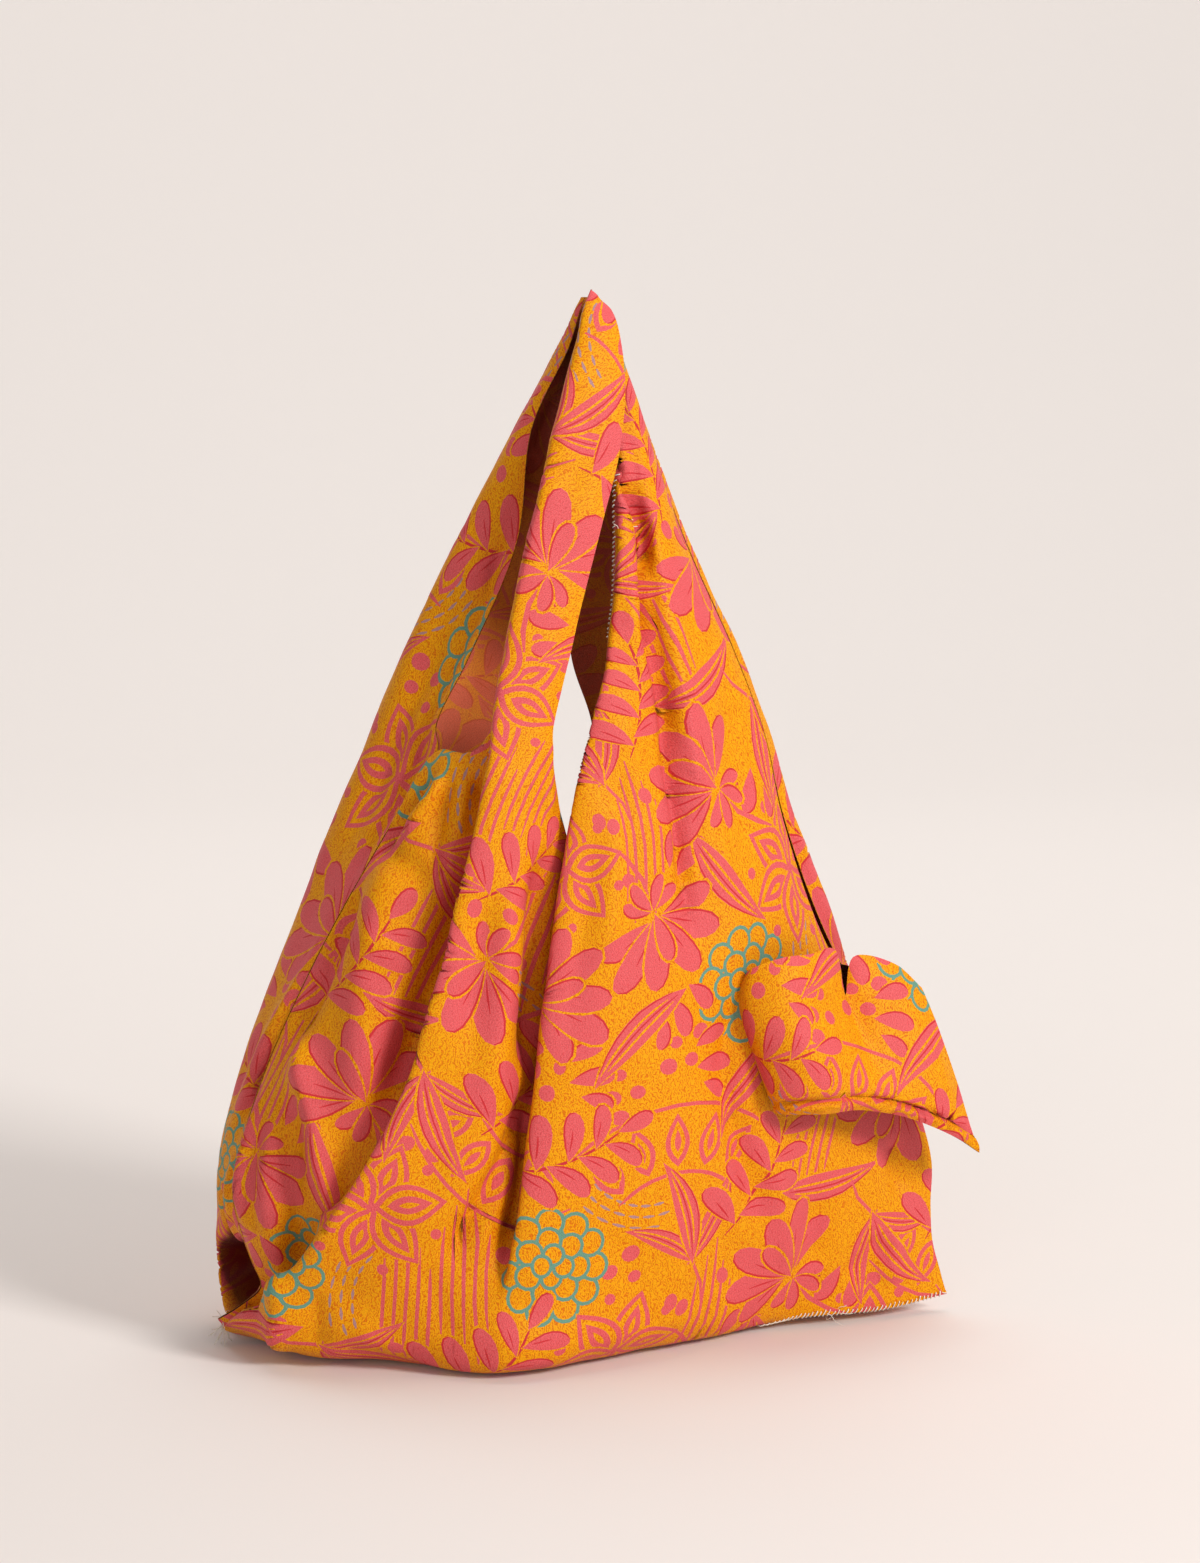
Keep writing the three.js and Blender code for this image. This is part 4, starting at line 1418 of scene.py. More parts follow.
def one_dot() -> list[Shape]:
    """Draw one dot."""
    return [Shape(Ink.PINK, disc(5.2) * (0.9, 1.1))]


def ring_rosette() -> list[Shape]:
    """Draw a round flower of overlapping rings.

    Returns:
        The shapes, the topmost last.
    """
    shapes = []
    for count, reach, radius in ((11, 27, 9.4), (7, 16, 8.6), (4, 7, 7.4)):
        for number in range(count):
            turn = (number + 0.35 * (count % 3)) * 360 / count
            middle = on_circle(reach, turn)
            shapes.append(Shape(Ink.TEAL, disc(radius, 14) + middle))
            shapes.append(Shape(Ink.GROUND, disc(radius - 2.2, 14) + middle))
    return shapes


def dashed_bows() -> list[Shape]:
    """Draw short dashes along three bows.

    Returns:
        The shapes, the topmost last.
    """
    shapes = []
    for row, radius in enumerate((46, 53, 60)):
        for start in range(58 + 3 * row, 118, 11):
            shapes.append(Shape(Ink.GREY, stroke(arc(radius, start, start + 8, 3), 2.0)))
    return moved(shapes, (0, -52))


@dataclass(frozen=True)
class Motif:
    """A motif of the print: how it is drawn, how often, how large and in how much room."""

    draw: Callable[[], list[Shape]]
    count: int
    room: float  # radius, millimetres
    size: float = 1.0
    turns: Span = (0, 360)  # degrees between which it is turned


@dataclass(frozen=True)
class Placement:
    """Where a motif stands on the repeat, in millimetres and degrees."""

    motif: Motif
    at: np.ndarray
    turn: float


REPEAT = np.array([(330.0, 160.0), (0.0, 320.0)])  # the steps to the repeats beside and above
COLUMNS = range(-4, 5)  # repeats that are enough for the largest cloth
ROWS = range(-6, 7)
STREWING = 12  # the seed of the print
PUSHES = 400  # times that the motifs are pushed apart
PUSH_SHARE = 0.3  # share of what two motifs lack in room that one push makes up
MOTIF_REACH = 1.6  # rooms within which all of a motif is
MOTIFS = (  # the lowest first
    Motif(one_dot, 12, 9),
    Motif(dots, 6, 17),
    Motif(line_bundle, 5, 25, turns=(-25, 25)),
    Motif(dashed_bows, 3, 20),
    Motif(oval_band, 2, 40),
    Motif(ring_rosette, 2, 37),
    Motif(nested_ovals, 2, 45, 0.92),
    Motif(loose_petal, 5, 17),
    Motif(striped_leaf, 4, 26, 0.95),
    Motif(leaf_pair, 3, 36, 0.95),
    Motif(leaf_spray, 4, 36),
    Motif(fan_flower, 4, 42, 1.05),
)


def beside(steps: np.ndarray) -> np.ndarray:
    """Give the shortest way between places that repeat."""
    steps = steps - np.round(steps[..., :1] / REPEAT[0, 0]) * REPEAT[0]
    return steps - np.round(steps[..., 1:] / REPEAT[1, 1]) * REPEAT[1]


def spread_out(motifs: tuple[Motif, ...], seed: int) -> list[Placement]:
    """Strew the motifs over the repeat and push them apart.

    Args:
        motifs: the print's motifs.
        seed: which strewing to use.

    Returns:
        The places, the lowest motif first.
    """
    chance = random.Random(seed)
    strewn = [motif for motif in motifs for _ in range(motif.count)]
    at = np.array([(chance.uniform(0, REPEAT[0, 0]), chance.uniform(0, REPEAT[1, 1]))
                   for _ in strewn])
    room = np.array([motif.room for motif in strewn])
    wanted = room[:, None] + room[None, :]
    lightness = room[None, :] ** 2 / (room[:, None] ** 2 + room[None, :] ** 2)
    not_itself = np.eye(len(at)) * 1e6  # keeps a motif from pushing itself
    for _ in range(PUSHES):
        steps = beside(at[:, None] - at[None, :])
        gap = np.linalg.norm(steps, axis=-1) + not_itself
        push = np.maximum(wanted - gap, 0) * lightness * PUSH_SHARE
        at = at + (steps / gap[..., None] * push[..., None]).sum(axis=1)
    turns = [chance.uniform(*motif.turns) for motif in strewn]
    return [Placement(*entry) for entry in zip(strewn, at, turns)]


def printed(low: np.ndarray, high: np.ndarray, start: Spot) -> list[Shape]:
    """Repeat the print over a part of the flat cloth.

    Args:
        low: the part's lowest corner.
        high: its highest corner.
        start: where a repeat begins.

    Returns:
        The shapes, the topmost last.
    """
    shapes = []
    for entry in spread_out(MOTIFS, STREWING):
        own = entry.motif.draw()
        reach = entry.motif.room * MOTIF_REACH
        for column in COLUMNS:
            for row in ROWS:
                at = entry.at + start + column * REPEAT[0] + row * REPEAT[1]
                if (at > low - reach).all() and (at < high + reach).all():
                    shapes += [shape.placed(at, entry.turn, entry.motif.size) for shape in own]
    return shapes


def evenly(outline: np.ndarray, step: float) -> np.ndarray:
    """Put points on a closed outline, about a step apart, its corners kept.

    Args:
        outline: the outline.
        step: the step.

    Returns:
        The points.
    """
    points = []
    for start, end in zip(outline, np.roll(outline, -1, axis=0)):
        count = max(1, round(float(np.linalg.norm(end - start)) / step))
        share = np.arange(count)[:, None] / count
        points.append(start + (end - start) * share)
    return np.concatenate(points)


def inside(points: np.ndarray, outline: np.ndarray) -> np.ndarray:
    """Say which points are inside a closed outline.

    Args:
        points: the points.
        outline: the outline.

    Returns:
        True for each that is.
    """
    x, y = points[:, :1], points[:, 1:]
    x0, y0 = outline[:, 0], outline[:, 1]
    x1, y1 = np.roll(x0, -1), np.roll(y0, -1)
    rise = np.where(y1 == y0, 1e-9, y1 - y0)
    crossed = ((y0 > y) != (y1 > y)) & (x < (x1 - x0) * (y - y0) / rise + x0)
    return crossed.sum(axis=1) % 2 == 1


def thinned(points: np.ndarray, taken: np.ndarray, step: float) -> np.ndarray:
    """Keep the points with none of the taken ones in their cell or the cells beside it.

    Args:
        points: the points.
        taken: the taken ones.
        step: the side of a cell.

    Returns:
        The points that are kept.
    """
    cells = {tuple(cell) for cell in np.floor(taken / step).astype(int).tolist()}
    keep = []
    for point in points:
        column, row = (int(value) for value in np.floor(point / step))
        near = any((column + i, row + j) in cells for i in (0, 1, -1) for j in (0, 1, -1))
        keep.append(not near)
    return points[np.array(keep, dtype=bool)]


def rows_of_triangles(outline: np.ndarray) -> np.ndarray:
    """Give the corners of equal triangles inside an outline.

    Args:
        outline: the outline.

    Returns:
        The corners.
    """
    low, high = outline.min(axis=0), outline.max(axis=0)
    columns, rows = np.meshgrid(
        np.arange(low[0], high[0], TRIANGLE), np.arange(low[1], high[1], TRIANGLE * ROW_RISE)
    )
    columns = columns + (np.arange(len(rows)) % 2 * TRIANGLE / 2)[:, None]
    places = np.column_stack([columns.ravel(), rows.ravel()])
    return places[inside(places, outline)]


class PrintedSheet:
    """A printed cloth: two layers of triangles that follow the print, joined at the edge."""

    def __init__(self, sheet: FoldedSheet, start: Spot) -> None:
        """Cut the cloth and its print into triangles.

        Args:
            sheet: the cloth in its folds.
            start: where a repeat of the print begins on the flat cloth.
        """
        self.sheet = sheet
        outline = evenly(sheet.outline(), TRIANGLE)
        shapes = [
            shape for shape in printed(outline.min(axis=0), outline.max(axis=0), start)
            if inside(shape.outline, outline).any()
        ]
        self.cut(outline, shapes)

    def cut(self, outline: np.ndarray, shapes: list[Shape]) -> None:
        """Divide the flat cloth into triangles, each within one ink.

        Args:
            outline: the cloth's outline.
            shapes: the print's shapes.
        """
        drawn = [outline] + [anticlockwise(shape.outline) for shape in shapes]
        taken = np.concatenate(drawn)
        sharp = self.sheet.sharp_places()
        sharp = sharp[inside(sharp, outline)]
        taken = np.concatenate([taken, thinned(sharp, taken, SHARP_TRIANGLE * SHARP_CLEARANCE)])
        loose = thinned(rows_of_triangles(outline), taken, TRIANGLE * CLEARANCE)
        points = np.concatenate([taken, loose])
        faces = []
        first = 0
        for line in drawn:
            faces.append(list(range(first, first + len(line))))
            first += len(line)
        flat, _, triangles, _, _, owners = geometry.delaunay_2d_cdt(
            [Vector(point) for point in points.tolist()], [], faces, 1, 1e-3, True
        )
        kept = [i for i, owner in enumerate(owners) if 0 in owner]
        used = sorted({corner for i in kept for corner in triangles[i]})
        number = {old: new for new, old in enumerate(used)}
        self.flat = np.array([flat[old] for old in used])
        self.triangles = np.array([[number[c] for c in triangles[i]] for i in kept])
        inks = [Ink.GROUND] + [shape.ink for shape in shapes]
        self.inks = np.array([inks[max(owners[i])] for i in kept])

    def build(self, name: str) -> bpy.types.Object:
        """Make the sheet's object.

        Args:
            name: the piece's name.

        Returns:
            The object, with its print in the attribute "ink".
        """
        middle, facing, hollow = self.sheet.lift(self.flat)
        count = len(middle)
        layers = np.concatenate([middle + facing * CLOTH / 2, middle - facing * CLOTH / 2])
        layers[:, 2] = np.maximum(layers[:, 2], FLOOR_GAP)
        rim = self.rim(count)
        faces = self.triangles.tolist() + (self.triangles[:, ::-1] + count).tolist() + rim
        mesh = smooth_mesh(name, (layers + ORIGIN_SHIFT) * MM, faces)
        self.write_print(mesh, len(rim))
        # how shut in each point is, which the material paints on the colour as shade
        write_numbers(mesh, "hollow", "POINT", hollow.T.ravel())
        mesh.normals_split_custom_set_from_vertices(np.concatenate([facing, -facing]).tolist())
        mesh.update()
        return added(name, mesh)

    def rim(self, count: int) -> list[list[int]]:
        """Join the two layers along the cloth's edge.

        Args:
            count: the number of points in a layer.

        Returns:
            The four-sided faces.
        """
        edges = {(a, b) for t in self.triangles.tolist() for a, b in zip(t, t[1:] + t[:1])}
        return [[b, a, a + count, b + count] for a, b in edges if (b, a) not in edges]

    def write_print(self, mesh: bpy.types.Mesh, rims: int) -> None:
        """Give the mesh its print and its flat coordinates.

        Args:
            mesh: the sheet's mesh.
            rims: the number of faces in its rim.
        """
        both = np.concatenate([self.inks, self.inks, np.zeros(rims, dtype=int)])
        colours = np.zeros((len(both), 4))
        for channel, ink in enumerate((Ink.PINK, Ink.LINE, Ink.TEAL)):
            colours[:, channel] = both == ink
        colours[:, 3] = 1
        ink = mesh.attributes.new("ink", "FLOAT_COLOR", "FACE")
        ink.data.foreach_set("color", colours.ravel())
        wrong = np.zeros(len(both))
        inner = 0 if self.sheet.faces_back else len(self.inks)
        wrong[inner:inner + len(self.inks)] = 1
        write_numbers(mesh, "grey_ink", "FACE", (both == Ink.GREY).astype(float))
        write_numbers(mesh, "wrong_side", "FACE", wrong)
        flat = np.concatenate([self.flat, self.flat])[loop_points(mesh)] * MM
        mesh.uv_layers.new(name="flat").data.foreach_set("uv", flat.ravel())


def write_numbers(mesh: bpy.types.Mesh, name: str, domain: str, numbers: np.ndarray) -> None:
    """Give a mesh an attribute with a number for each of its points or faces."""
    mesh.attributes.new(name, "FLOAT", domain).data.foreach_set("value", numbers)


class Nodes:
    """A new material and what adds shader nodes to it."""

    def __init__(self, name: str) -> None:
        """Make the material, with the usual shader in it.

        Args:
            name: the material's name.
        """
        self.material = bpy.data.materials.new(name)
        self.material.use_nodes = True
        self.tree = self.material.node_tree
        self.shader = self.tree.nodes["Principled BSDF"]
        self.output = self.tree.nodes["Material Output"]

    def put(self, node: bpy.types.Node, inputs: dict[str | int, SocketValue]) -> None:
        """Set some inputs of a node, or link them.

        Args:
            node: the node.
            inputs: each input's value, or the output that is linked to it.
        """
        for name, value in inputs.items():
            socket = node.inputs[name]
            if isinstance(value, bpy.types.NodeSocket):
                self.tree.links.new(value, socket)
            elif isinstance(value, tuple):
                socket.default_value = (*value, 1.0)[:len(socket.default_value)]
            else:
                socket.default_value = value

    def add(
        self, kind: str, inputs: dict[str | int, SocketValue] | None = None, **options: str
    ) -> bpy.types.Node:
        """Add a node.

        Args:
            kind: its kind, without the words that all kinds begin with.
            inputs: values and links of its inputs.
            options: its settings.

        Returns:
            The node.
        """
        node = self.tree.nodes.new("ShaderNode" + kind)
        for name, option in options.items():
            setattr(node, name, option)
        self.put(node, inputs or {})
        return node

    def attribute(self, name: str, output: str = "Fac") -> bpy.types.NodeSocket:
        """Read a mesh attribute."""
        return self.add("Attribute", attribute_name=name).outputs[output]

    def mix(self, share: SocketValue, first: SocketValue,
            second: SocketValue) -> bpy.types.NodeSocket:
        """Mix two colours."""
        return self.add("Mix", {0: share, 6: first, 7: second}, data_type="RGBA").outputs[2]

    def scaled(self, value: SocketValue, by: SocketValue) -> bpy.types.NodeSocket:
        """Multiply a value."""
        return self.add("Math", {0: value, 1: by}, operation="MULTIPLY").outputs[0]

    def tinted(self, colour: SocketValue, tint: Colour) -> bpy.types.NodeSocket:
        """Multiply a colour by another."""
        return self.add("VectorMath", {0: colour, 1: tint}, operation="MULTIPLY").outputs[0]

    def shaded(self, colour: SocketValue, share: SocketValue) -> bpy.types.NodeSocket:
        """Multiply a colour by a value."""
        return self.add("VectorMath", {0: colour, "Scale": share}, operation="SCALE").outputs[0]

    def ranged(self, value: SocketValue, to: Span, of: Span = (0.3, 0.7)) -> bpy.types.NodeSocket:
        """Spread the values of one span over another."""
        return self.add("MapRange", {
            "Value": value, "From Min": of[0], "From Max": of[1], "To Min": to[0], "To Max": to[1],
        }).outputs[0]

    def threads(self, place: bpy.types.NodeSocket, scale: float) -> bpy.types.NodeSocket:
        """Make the fine grain of the weave."""
        inputs = {"Vector": place, "Scale": scale, "Detail": 1.0}
        return self.add("TexNoise", inputs, noise_dimensions="2D").outputs["Fac"]


@dataclass(frozen=True)
class Marks:
    """Fine worm-like marks: the dark parts of a much distorted wave, broken up."""

    scale: float
    twist: float
    breadth: float
    detail_scale: float = 1.3
    break_scale: float = 4.0  # how much finer the breaks are
    break_level: float = 0.43

    def drawn(self, nodes: Nodes, place: bpy.types.NodeSocket) -> bpy.types.NodeSocket:
        """Draw the marks.

        Args:
            nodes: the material's nodes.
            place: the output with the place on the flat cloth.

        Returns:
            1 on a mark and 0 beside it.
        """
        wave = nodes.add("TexWave", {
            "Vector": place, "Scale": self.scale, "Distortion": self.twist, "Detail": 1.0,
            "Detail Scale": self.detail_scale,
        })
        dark = nodes.add("Math", {0: wave.outputs["Fac"], 1: self.breadth}, operation="LESS_THAN")
        grain = nodes.threads(place, self.scale * self.break_scale)
        whole = nodes.add("Math", {0: grain, 1: self.break_level}, operation="GREATER_THAN")
        return nodes.scaled(dark.outputs[0], whole.outputs[0])


@dataclass(frozen=True)
class ClothFinish:
    """The look of the printed cloth: its inks, its marks, its weave and the shade painted where it
    is shut in.
    """

    name: str = "printed_cloth"
    ground: Colour = (0.97, 0.41, 0.001)
    marks: Colour = (0.80, 0.20, 0.001)
    pink: Colour = (0.86, 0.135, 0.145)
    line: Colour = (0.68, 0.036, 0.045)
    teal: Colour = (0.16, 0.36, 0.27)
    grey: Colour = (0.50, 0.27, 0.28)
    wrong: Colour = (0.78, 0.31, 0.11)
    wrong_share: float = 0.45  # how far the colours go over to it on the wrong side
    squiggle: Marks = Marks(165.0, 15.0, 0.42)  # on the ground
    speckle: Marks = Marks(230.0, 12.0, 0.38)  # on the pink
    speckle_share: float = 0.42  # how far the pink goes over to the line's red there
    painted_shade_tint: Colour = (0.68, 0.14, 0.04)  # painted shade: what shut-in cloth keeps of its colour, darker and redder
    hollows: Span = (0.25, 0.65)  # between which the cloth loses its light
    light: Span = (1.0, 0.22)  # what it keeps of it at either end
    weave: float = 1300.0  # scale of the threads
    weave_light: Span = (0.80, 1.0)  # light of the lowest and of the highest threads
    weave_roughness: Span = (0.62, 0.44)
    weave_height: float = 0.0004  # metres
    weave_strength: float = 0.5
    gloss: float = 0.15
    sheen: float = 0.03
    sheen_roughness: float = 0.4
    through: float = 0.07  # share of the light that goes through

    def material(self) -> bpy.types.Material:
        """Make the material.

        Returns:
            The material.
        """
        nodes = Nodes(self.name)
        place = nodes.add("UVMap", uv_map="flat").outputs["UV"]
        threads = nodes.threads(place, self.weave)
        # painted shade: darker and redder where the cloth is shut in by other cloth
        colour = self.shut_in(nodes, self.inked(nodes, place))
        colour = nodes.shaded(colour, nodes.ranged(threads, self.weave_light))
        relief = nodes.add("Bump", {
            "Height": threads, "Distance": self.weave_height, "Strength": self.weave_strength,
        })
        nodes.put(nodes.shader, {
            "Base Color": colour,
            "Roughness": nodes.ranged(threads, self.weave_roughness),
            "Normal": relief.outputs["Normal"],
            "Specular IOR Level": self.gloss,
            "Sheen Weight": self.sheen,
            "Sheen Roughness": self.sheen_roughness,
        })
        thin = nodes.add("BsdfTranslucent", {"Color": colour})
        both = nodes.add("MixShader", {
            "Fac": self.through, 1: nodes.shader.outputs["BSDF"], 2: thin.outputs["BSDF"],
        })
        nodes.put(nodes.output, {"Surface": both.outputs["Shader"]})
        return nodes.material

    def inked(self, nodes: Nodes, place: bpy.types.NodeSocket) -> bpy.types.NodeSocket:
        """Colour the cloth by its print.

        Args:
            nodes: the material's nodes.
            place: the output with the place on the flat cloth.

        Returns:
            The colour.
        """
        inks = nodes.add("SeparateColor", {"Color": nodes.attribute("ink", "Color")}).outputs
        ground = nodes.mix(self.squiggle.drawn(nodes, place), self.ground, self.marks)
        speckle = nodes.scaled(self.speckle.drawn(nodes, place), self.speckle_share)
        colour = nodes.mix(inks["Red"], ground, nodes.mix(speckle, self.pink, self.line))
        colour = nodes.mix(inks["Green"], colour, self.line)
        colour = nodes.mix(inks["Blue"], colour, self.teal)
        colour = nodes.mix(nodes.attribute("grey_ink"), colour, self.grey)
        pale = nodes.mix(self.wrong_share, colour, self.wrong)
        return nodes.mix(nodes.attribute("wrong_side"), colour, pale)

    def shut_in(self, nodes: Nodes, colour: bpy.types.NodeSocket) -> bpy.types.NodeSocket:
        """Paint shade on shut-in cloth: make its colour darker and redder.

        Args:
            nodes: the material's nodes.
            colour: the cloth's colour in the open.

        Returns:
            The colour, with the painted shade.
        """
        hollow = nodes.attribute("hollow")
        colour = nodes.mix(hollow, colour, nodes.tinted(colour, self.painted_shade_tint))
        return nodes.shaded(colour, nodes.ranged(hollow, self.light, self.hollows))


@dataclass(frozen=True)
class ThreadFinish:
    """The look of the sewing thread."""

    name: str = "sewing_thread"
    colour: Colour = (0.92, 0.89, 0.82)
    shade: Colour = (0.78, 0.71, 0.58)
    grain: float = 900.0
    roughness: Span = (0.55, 0.75)

    def material(self) -> bpy.types.Material:
        """Make the material.

        Returns:
            The material.
        """
        nodes = Nodes(self.name)
        grain = nodes.threads(nodes.add("TexCoord").outputs["Object"], self.grain)
        nodes.put(nodes.shader, {
            "Base Color": nodes.mix(nodes.ranged(grain, (0.0, 1.0)), self.colour, self.shade),
            "Roughness": nodes.ranged(grain, self.roughness),
        })
        return nodes.material


STITCH = (  # how far along the stitch, off the cloth and inwards, and the share of its reach
    (0.0, -0.5, 0.0, 0.0),
    (0.0, 0.5, -0.5, 0.0),
    (0.0, 1.1, 0.3, 0.0),
    (0.5, 1.5, 0.0, 0.6),
    (1.0, 0.9, 0.0, 1.0),
)


@dataclass(frozen=True)
class LooseEnds:
    """A tuft of frayed thread ends: where it starts, which way it goes and how long it is."""

    place: Place
    way: Place
    count: int
    length: float


@dataclass
class SewingThread:
    """The overlocked edges' thread and its loose ends, as thin tubes."""

    sheet: FoldedSheet
    stitch_reach: Span = (2.2, 4.0)  # from the edge into the cloth
    stitch_width: Span = (0.9, 1.6)  # along the edge
    stitch_gap: Span = (1.4, 2.3)
    stitch_radius: Span = (0.32, 0.46)
    first_stitch: float = 1.0  # from the start of the edge
    last_stitch: float = 3.0  # from its end
    fray_spread: float = 3.0  # how far from their place the loose ends start
    fray_turn: float = 0.8  # how far they turn from their way at first
    fray_bend: float = 0.5  # how far they bend at each of their points
    fray_points: int = 4
    fray_step: Span = (0.1, 0.3)  # shares of their length
    fray_radius: Span = (0.16, 0.26)
    smoothing: int = 3  # steps between two points of a thread
    sides: int = 5
    lines: list[np.ndarray] = field(default_factory=list)
    radii: list[float] = field(default_factory=list)

    def along(self, patch: int, edge: tuple[slice, slice], inner: tuple[slice, slice]) -> None:
        """Sew stitches over an edge of a fine patch.

        Args:
            patch: the patch's number.
            edge: the grid points of the edge.
            inner: the grid points a little way in from it.
        """
        grid, normal = self.sheet.fine[patch].grid, self.sheet.normals()[patch]
        line = grid[edge].reshape(-1, 3)
        inward = unit(grid[inner].reshape(-1, 3) - line)
        facing = normal[edge].reshape(-1, 3)
        run = np.concatenate([[0], np.cumsum(np.linalg.norm(np.diff(line, axis=0), axis=1))])
        chance = random.Random(patch + len(line))
        where = self.first_stitch
        while where < run[-1] - self.last_stitch:
            reach = chance.uniform(*self.stitch_reach)
            end = where + chance.uniform(*self.stitch_width)
            here, there, way, out = (
                np.array([np.interp(at, run, table[:, axis]) for axis in range(3)])
                for at, table in ((where, line), (end, line), (where, inward), (where, facing))
            )
            self.lines.append(np.array([
                here * (1 - share) + there * share + out * rise + way * (inset + reach * part)
                for share, rise, inset, part in STITCH
            ]))
            self.radii.append(chance.uniform(*self.stitch_radius))
            where = end + chance.uniform(*self.stitch_gap)

    def frayed(self, ends: LooseEnds) -> None:
        """Let loose ends stand out from a place.

        Args:
            ends: the tuft.
        """
        chance = random.Random(ends.count)

        def strayed(by: float) -> list[float]:
            """Give a small step in any direction."""
            return [chance.uniform(-by, by) for _ in range(3)]

        for _ in range(ends.count):
            start = np.array(ends.place) + strayed(self.fray_spread)
            heading = np.array(ends.way) + strayed(self.fray_turn)
            points = [start]
            for _ in range(self.fray_points):
                heading = heading + strayed(self.fray_bend)
                share = chance.uniform(*self.fray_step)
                step = heading / np.linalg.norm(heading) * ends.length * share
                points.append(points[-1] + step)
            line = np.array(points)
            line[:, 2] = np.maximum(line[:, 2], LIFT)
            self.lines.append(line)
            self.radii.append(chance.uniform(*self.fray_radius))

    def build(self, name: str, material: bpy.types.Material) -> bpy.types.Object:
        """Make the thread's object.

        Args:
            name: the piece's name.
            material: the thread's material.

        Returns:
            The piece.
        """
        rings: list[np.ndarray] = []
        faces: list[list[int]] = []
        first = 0
        for line, radius in zip(self.lines, self.radii):
            smooth = smooth_lines(line[:, None], self.smoothing)[:, 0]
            ahead = unit(np.gradient(smooth, axis=0))
            aside = unit(np.cross(ahead, (0.31, 0.22, 0.93)))
            above = np.cross(ahead, aside)
            for side in range(self.sides):
                turn = 2 * math.pi * side / self.sides
                rings.append(smooth + radius * (math.cos(turn) * aside + math.sin(turn) * above))
            faces += self.tube_faces(first, len(smooth))
            first += self.sides * len(smooth)
        mesh = smooth_mesh(name, (np.concatenate(rings) + ORIGIN_SHIFT) * MM, faces)
        mesh.materials.append(material)
        piece = added(name, mesh)
        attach(piece, BODY)
        log.info("%s: %d faces", name, len(faces))
        return piece

    def tube_faces(self, first: int, count: int) -> list[list[int]]:
        """Join the lines of points round a thread.

        Args:
            first: number of the first line's first point.
            count: the number of points in a line.

        Returns:
            The faces, the two ends last.
        """
        starts = [first + side * count for side in range(self.sides)]
        faces = [
            [own + i, own + i + 1, other + i + 1, other + i]
            for own, other in zip(starts, starts[1:] + starts[:1]) for i in range(count - 1)
        ]
        return faces + [starts, [start + count - 1 for start in reversed(starts)]]


BOTTOM_FOLDS = (11, 14)  # between which the bottom hem's stitches show
CORNER_STEPS = 30  # fine grid steps up the right side hem with stitches
LIP_ROWS = (3.2, 4.7)  # rows above the notch between which the mouth's right hem has stitches
STITCH_INSET = 3  # fine grid steps from an edge to where its stitches point
TUFTS = (
    LooseEnds((-241, -8, 13), (-0.2, -0.6, -0.5), 26, 16),
    LooseEnds((150, -23, 7), (0.3, -0.7, -0.4), 5, 14),
    LooseEnds((8, -36, 520), (0.5, -0.5, -0.6), 5, 12),
)


def overlock(sheet: FoldedSheet) -> SewingThread:
    """Sew the front cloth's overlocked edges: at the bottom and at the mouth.

    Args:
        sheet: the front cloth.

    Returns:
        The thread.
    """
    thread = SewingThread(sheet)
    first, from_first = slice(0, 1), slice(STITCH_INSET, STITCH_INSET + 1)
    last, from_last = slice(-1, None), slice(-STITCH_INSET - 1, -STITCH_INSET)
    bottom = slice(BOTTOM_FOLDS[0] * FINE_STEPS, BOTTOM_FOLDS[1] * FINE_STEPS + 1)
    thread.along(0, (first, bottom), (from_first, bottom))
    corner = slice(0, CORNER_STEPS)
    thread.along(0, (corner, last), (corner, from_last))
    lip = slice(int(LIP_ROWS[0] * FINE_STEPS), int(LIP_ROWS[1] * FINE_STEPS))
    thread.along(2, (lip, first), (lip, from_first))
    for tuft in TUFTS:
        thread.frayed(tuft)
    return thread


@dataclass(frozen=True)
class Lamp:
    """A square soft lamp that faces the bag, in metres and watts."""

    name: str
    place: Place
    size: float
    power: float
    colour: Colour
    target: Place = (0.0, 0.0, 0.3)

    def hang(self) -> None:
        """Hang the lamp and turn it."""
        data = bpy.data.lights.new(self.name, "AREA")
        data.size = self.size
        data.energy = self.power
        data.color = self.colour
        lamp = added(self.name, data)
        lamp.location = self.place
        self.turn(lamp)

    def turn(self, lamp: bpy.types.Object) -> None:
        """Turn the lamp to the bag."""
        look = Vector(self.target) - Vector(self.place)
        lamp.rotation_euler = look.to_track_quat("-Z", "Y").to_euler()


@dataclass(frozen=True)
class InnerLamp(Lamp):
    """An upright lamp inside the bag that faces the back and doesn't show itself."""

    height: float = 0.06
    spread: float = 90.0  # degrees

    def turn(self, lamp: bpy.types.Object) -> None:
        """Turn the lamp to the back, and give it its height and its spread.

        Args:
            lamp: the lamp.
        """
        lamp.rotation_euler = (math.radians(90), 0.0, 0.0)
        lamp.visible_camera = False
        lamp.data.shape = "RECTANGLE"
        lamp.data.size_y = self.height
        lamp.data.spread = math.radians(self.spread)


LAMPS = (
    Lamp("key", (2.2, -2.72, 2.16), 0.92, 114.0, (1.0, 0.975, 0.955)),
    Lamp("fill", (-1.2, -3.0, 1.3), 1.4, 12.0, (1.0, 0.96, 0.92)),
    Lamp("top", (0.2, 0.5, 3.2), 2.0, 40.0, (1.0, 0.98, 0.96)),
    # behind the left arm hole, for the light that comes through the thin cloth there
    InnerLamp(
        "inner", tuple((Vector((-80.0, -7.0, 402.0)) + Vector(ORIGIN_SHIFT)) * MM), 0.03, 0.0085,
        (1.0, 0.86, 0.72),
    ),
)


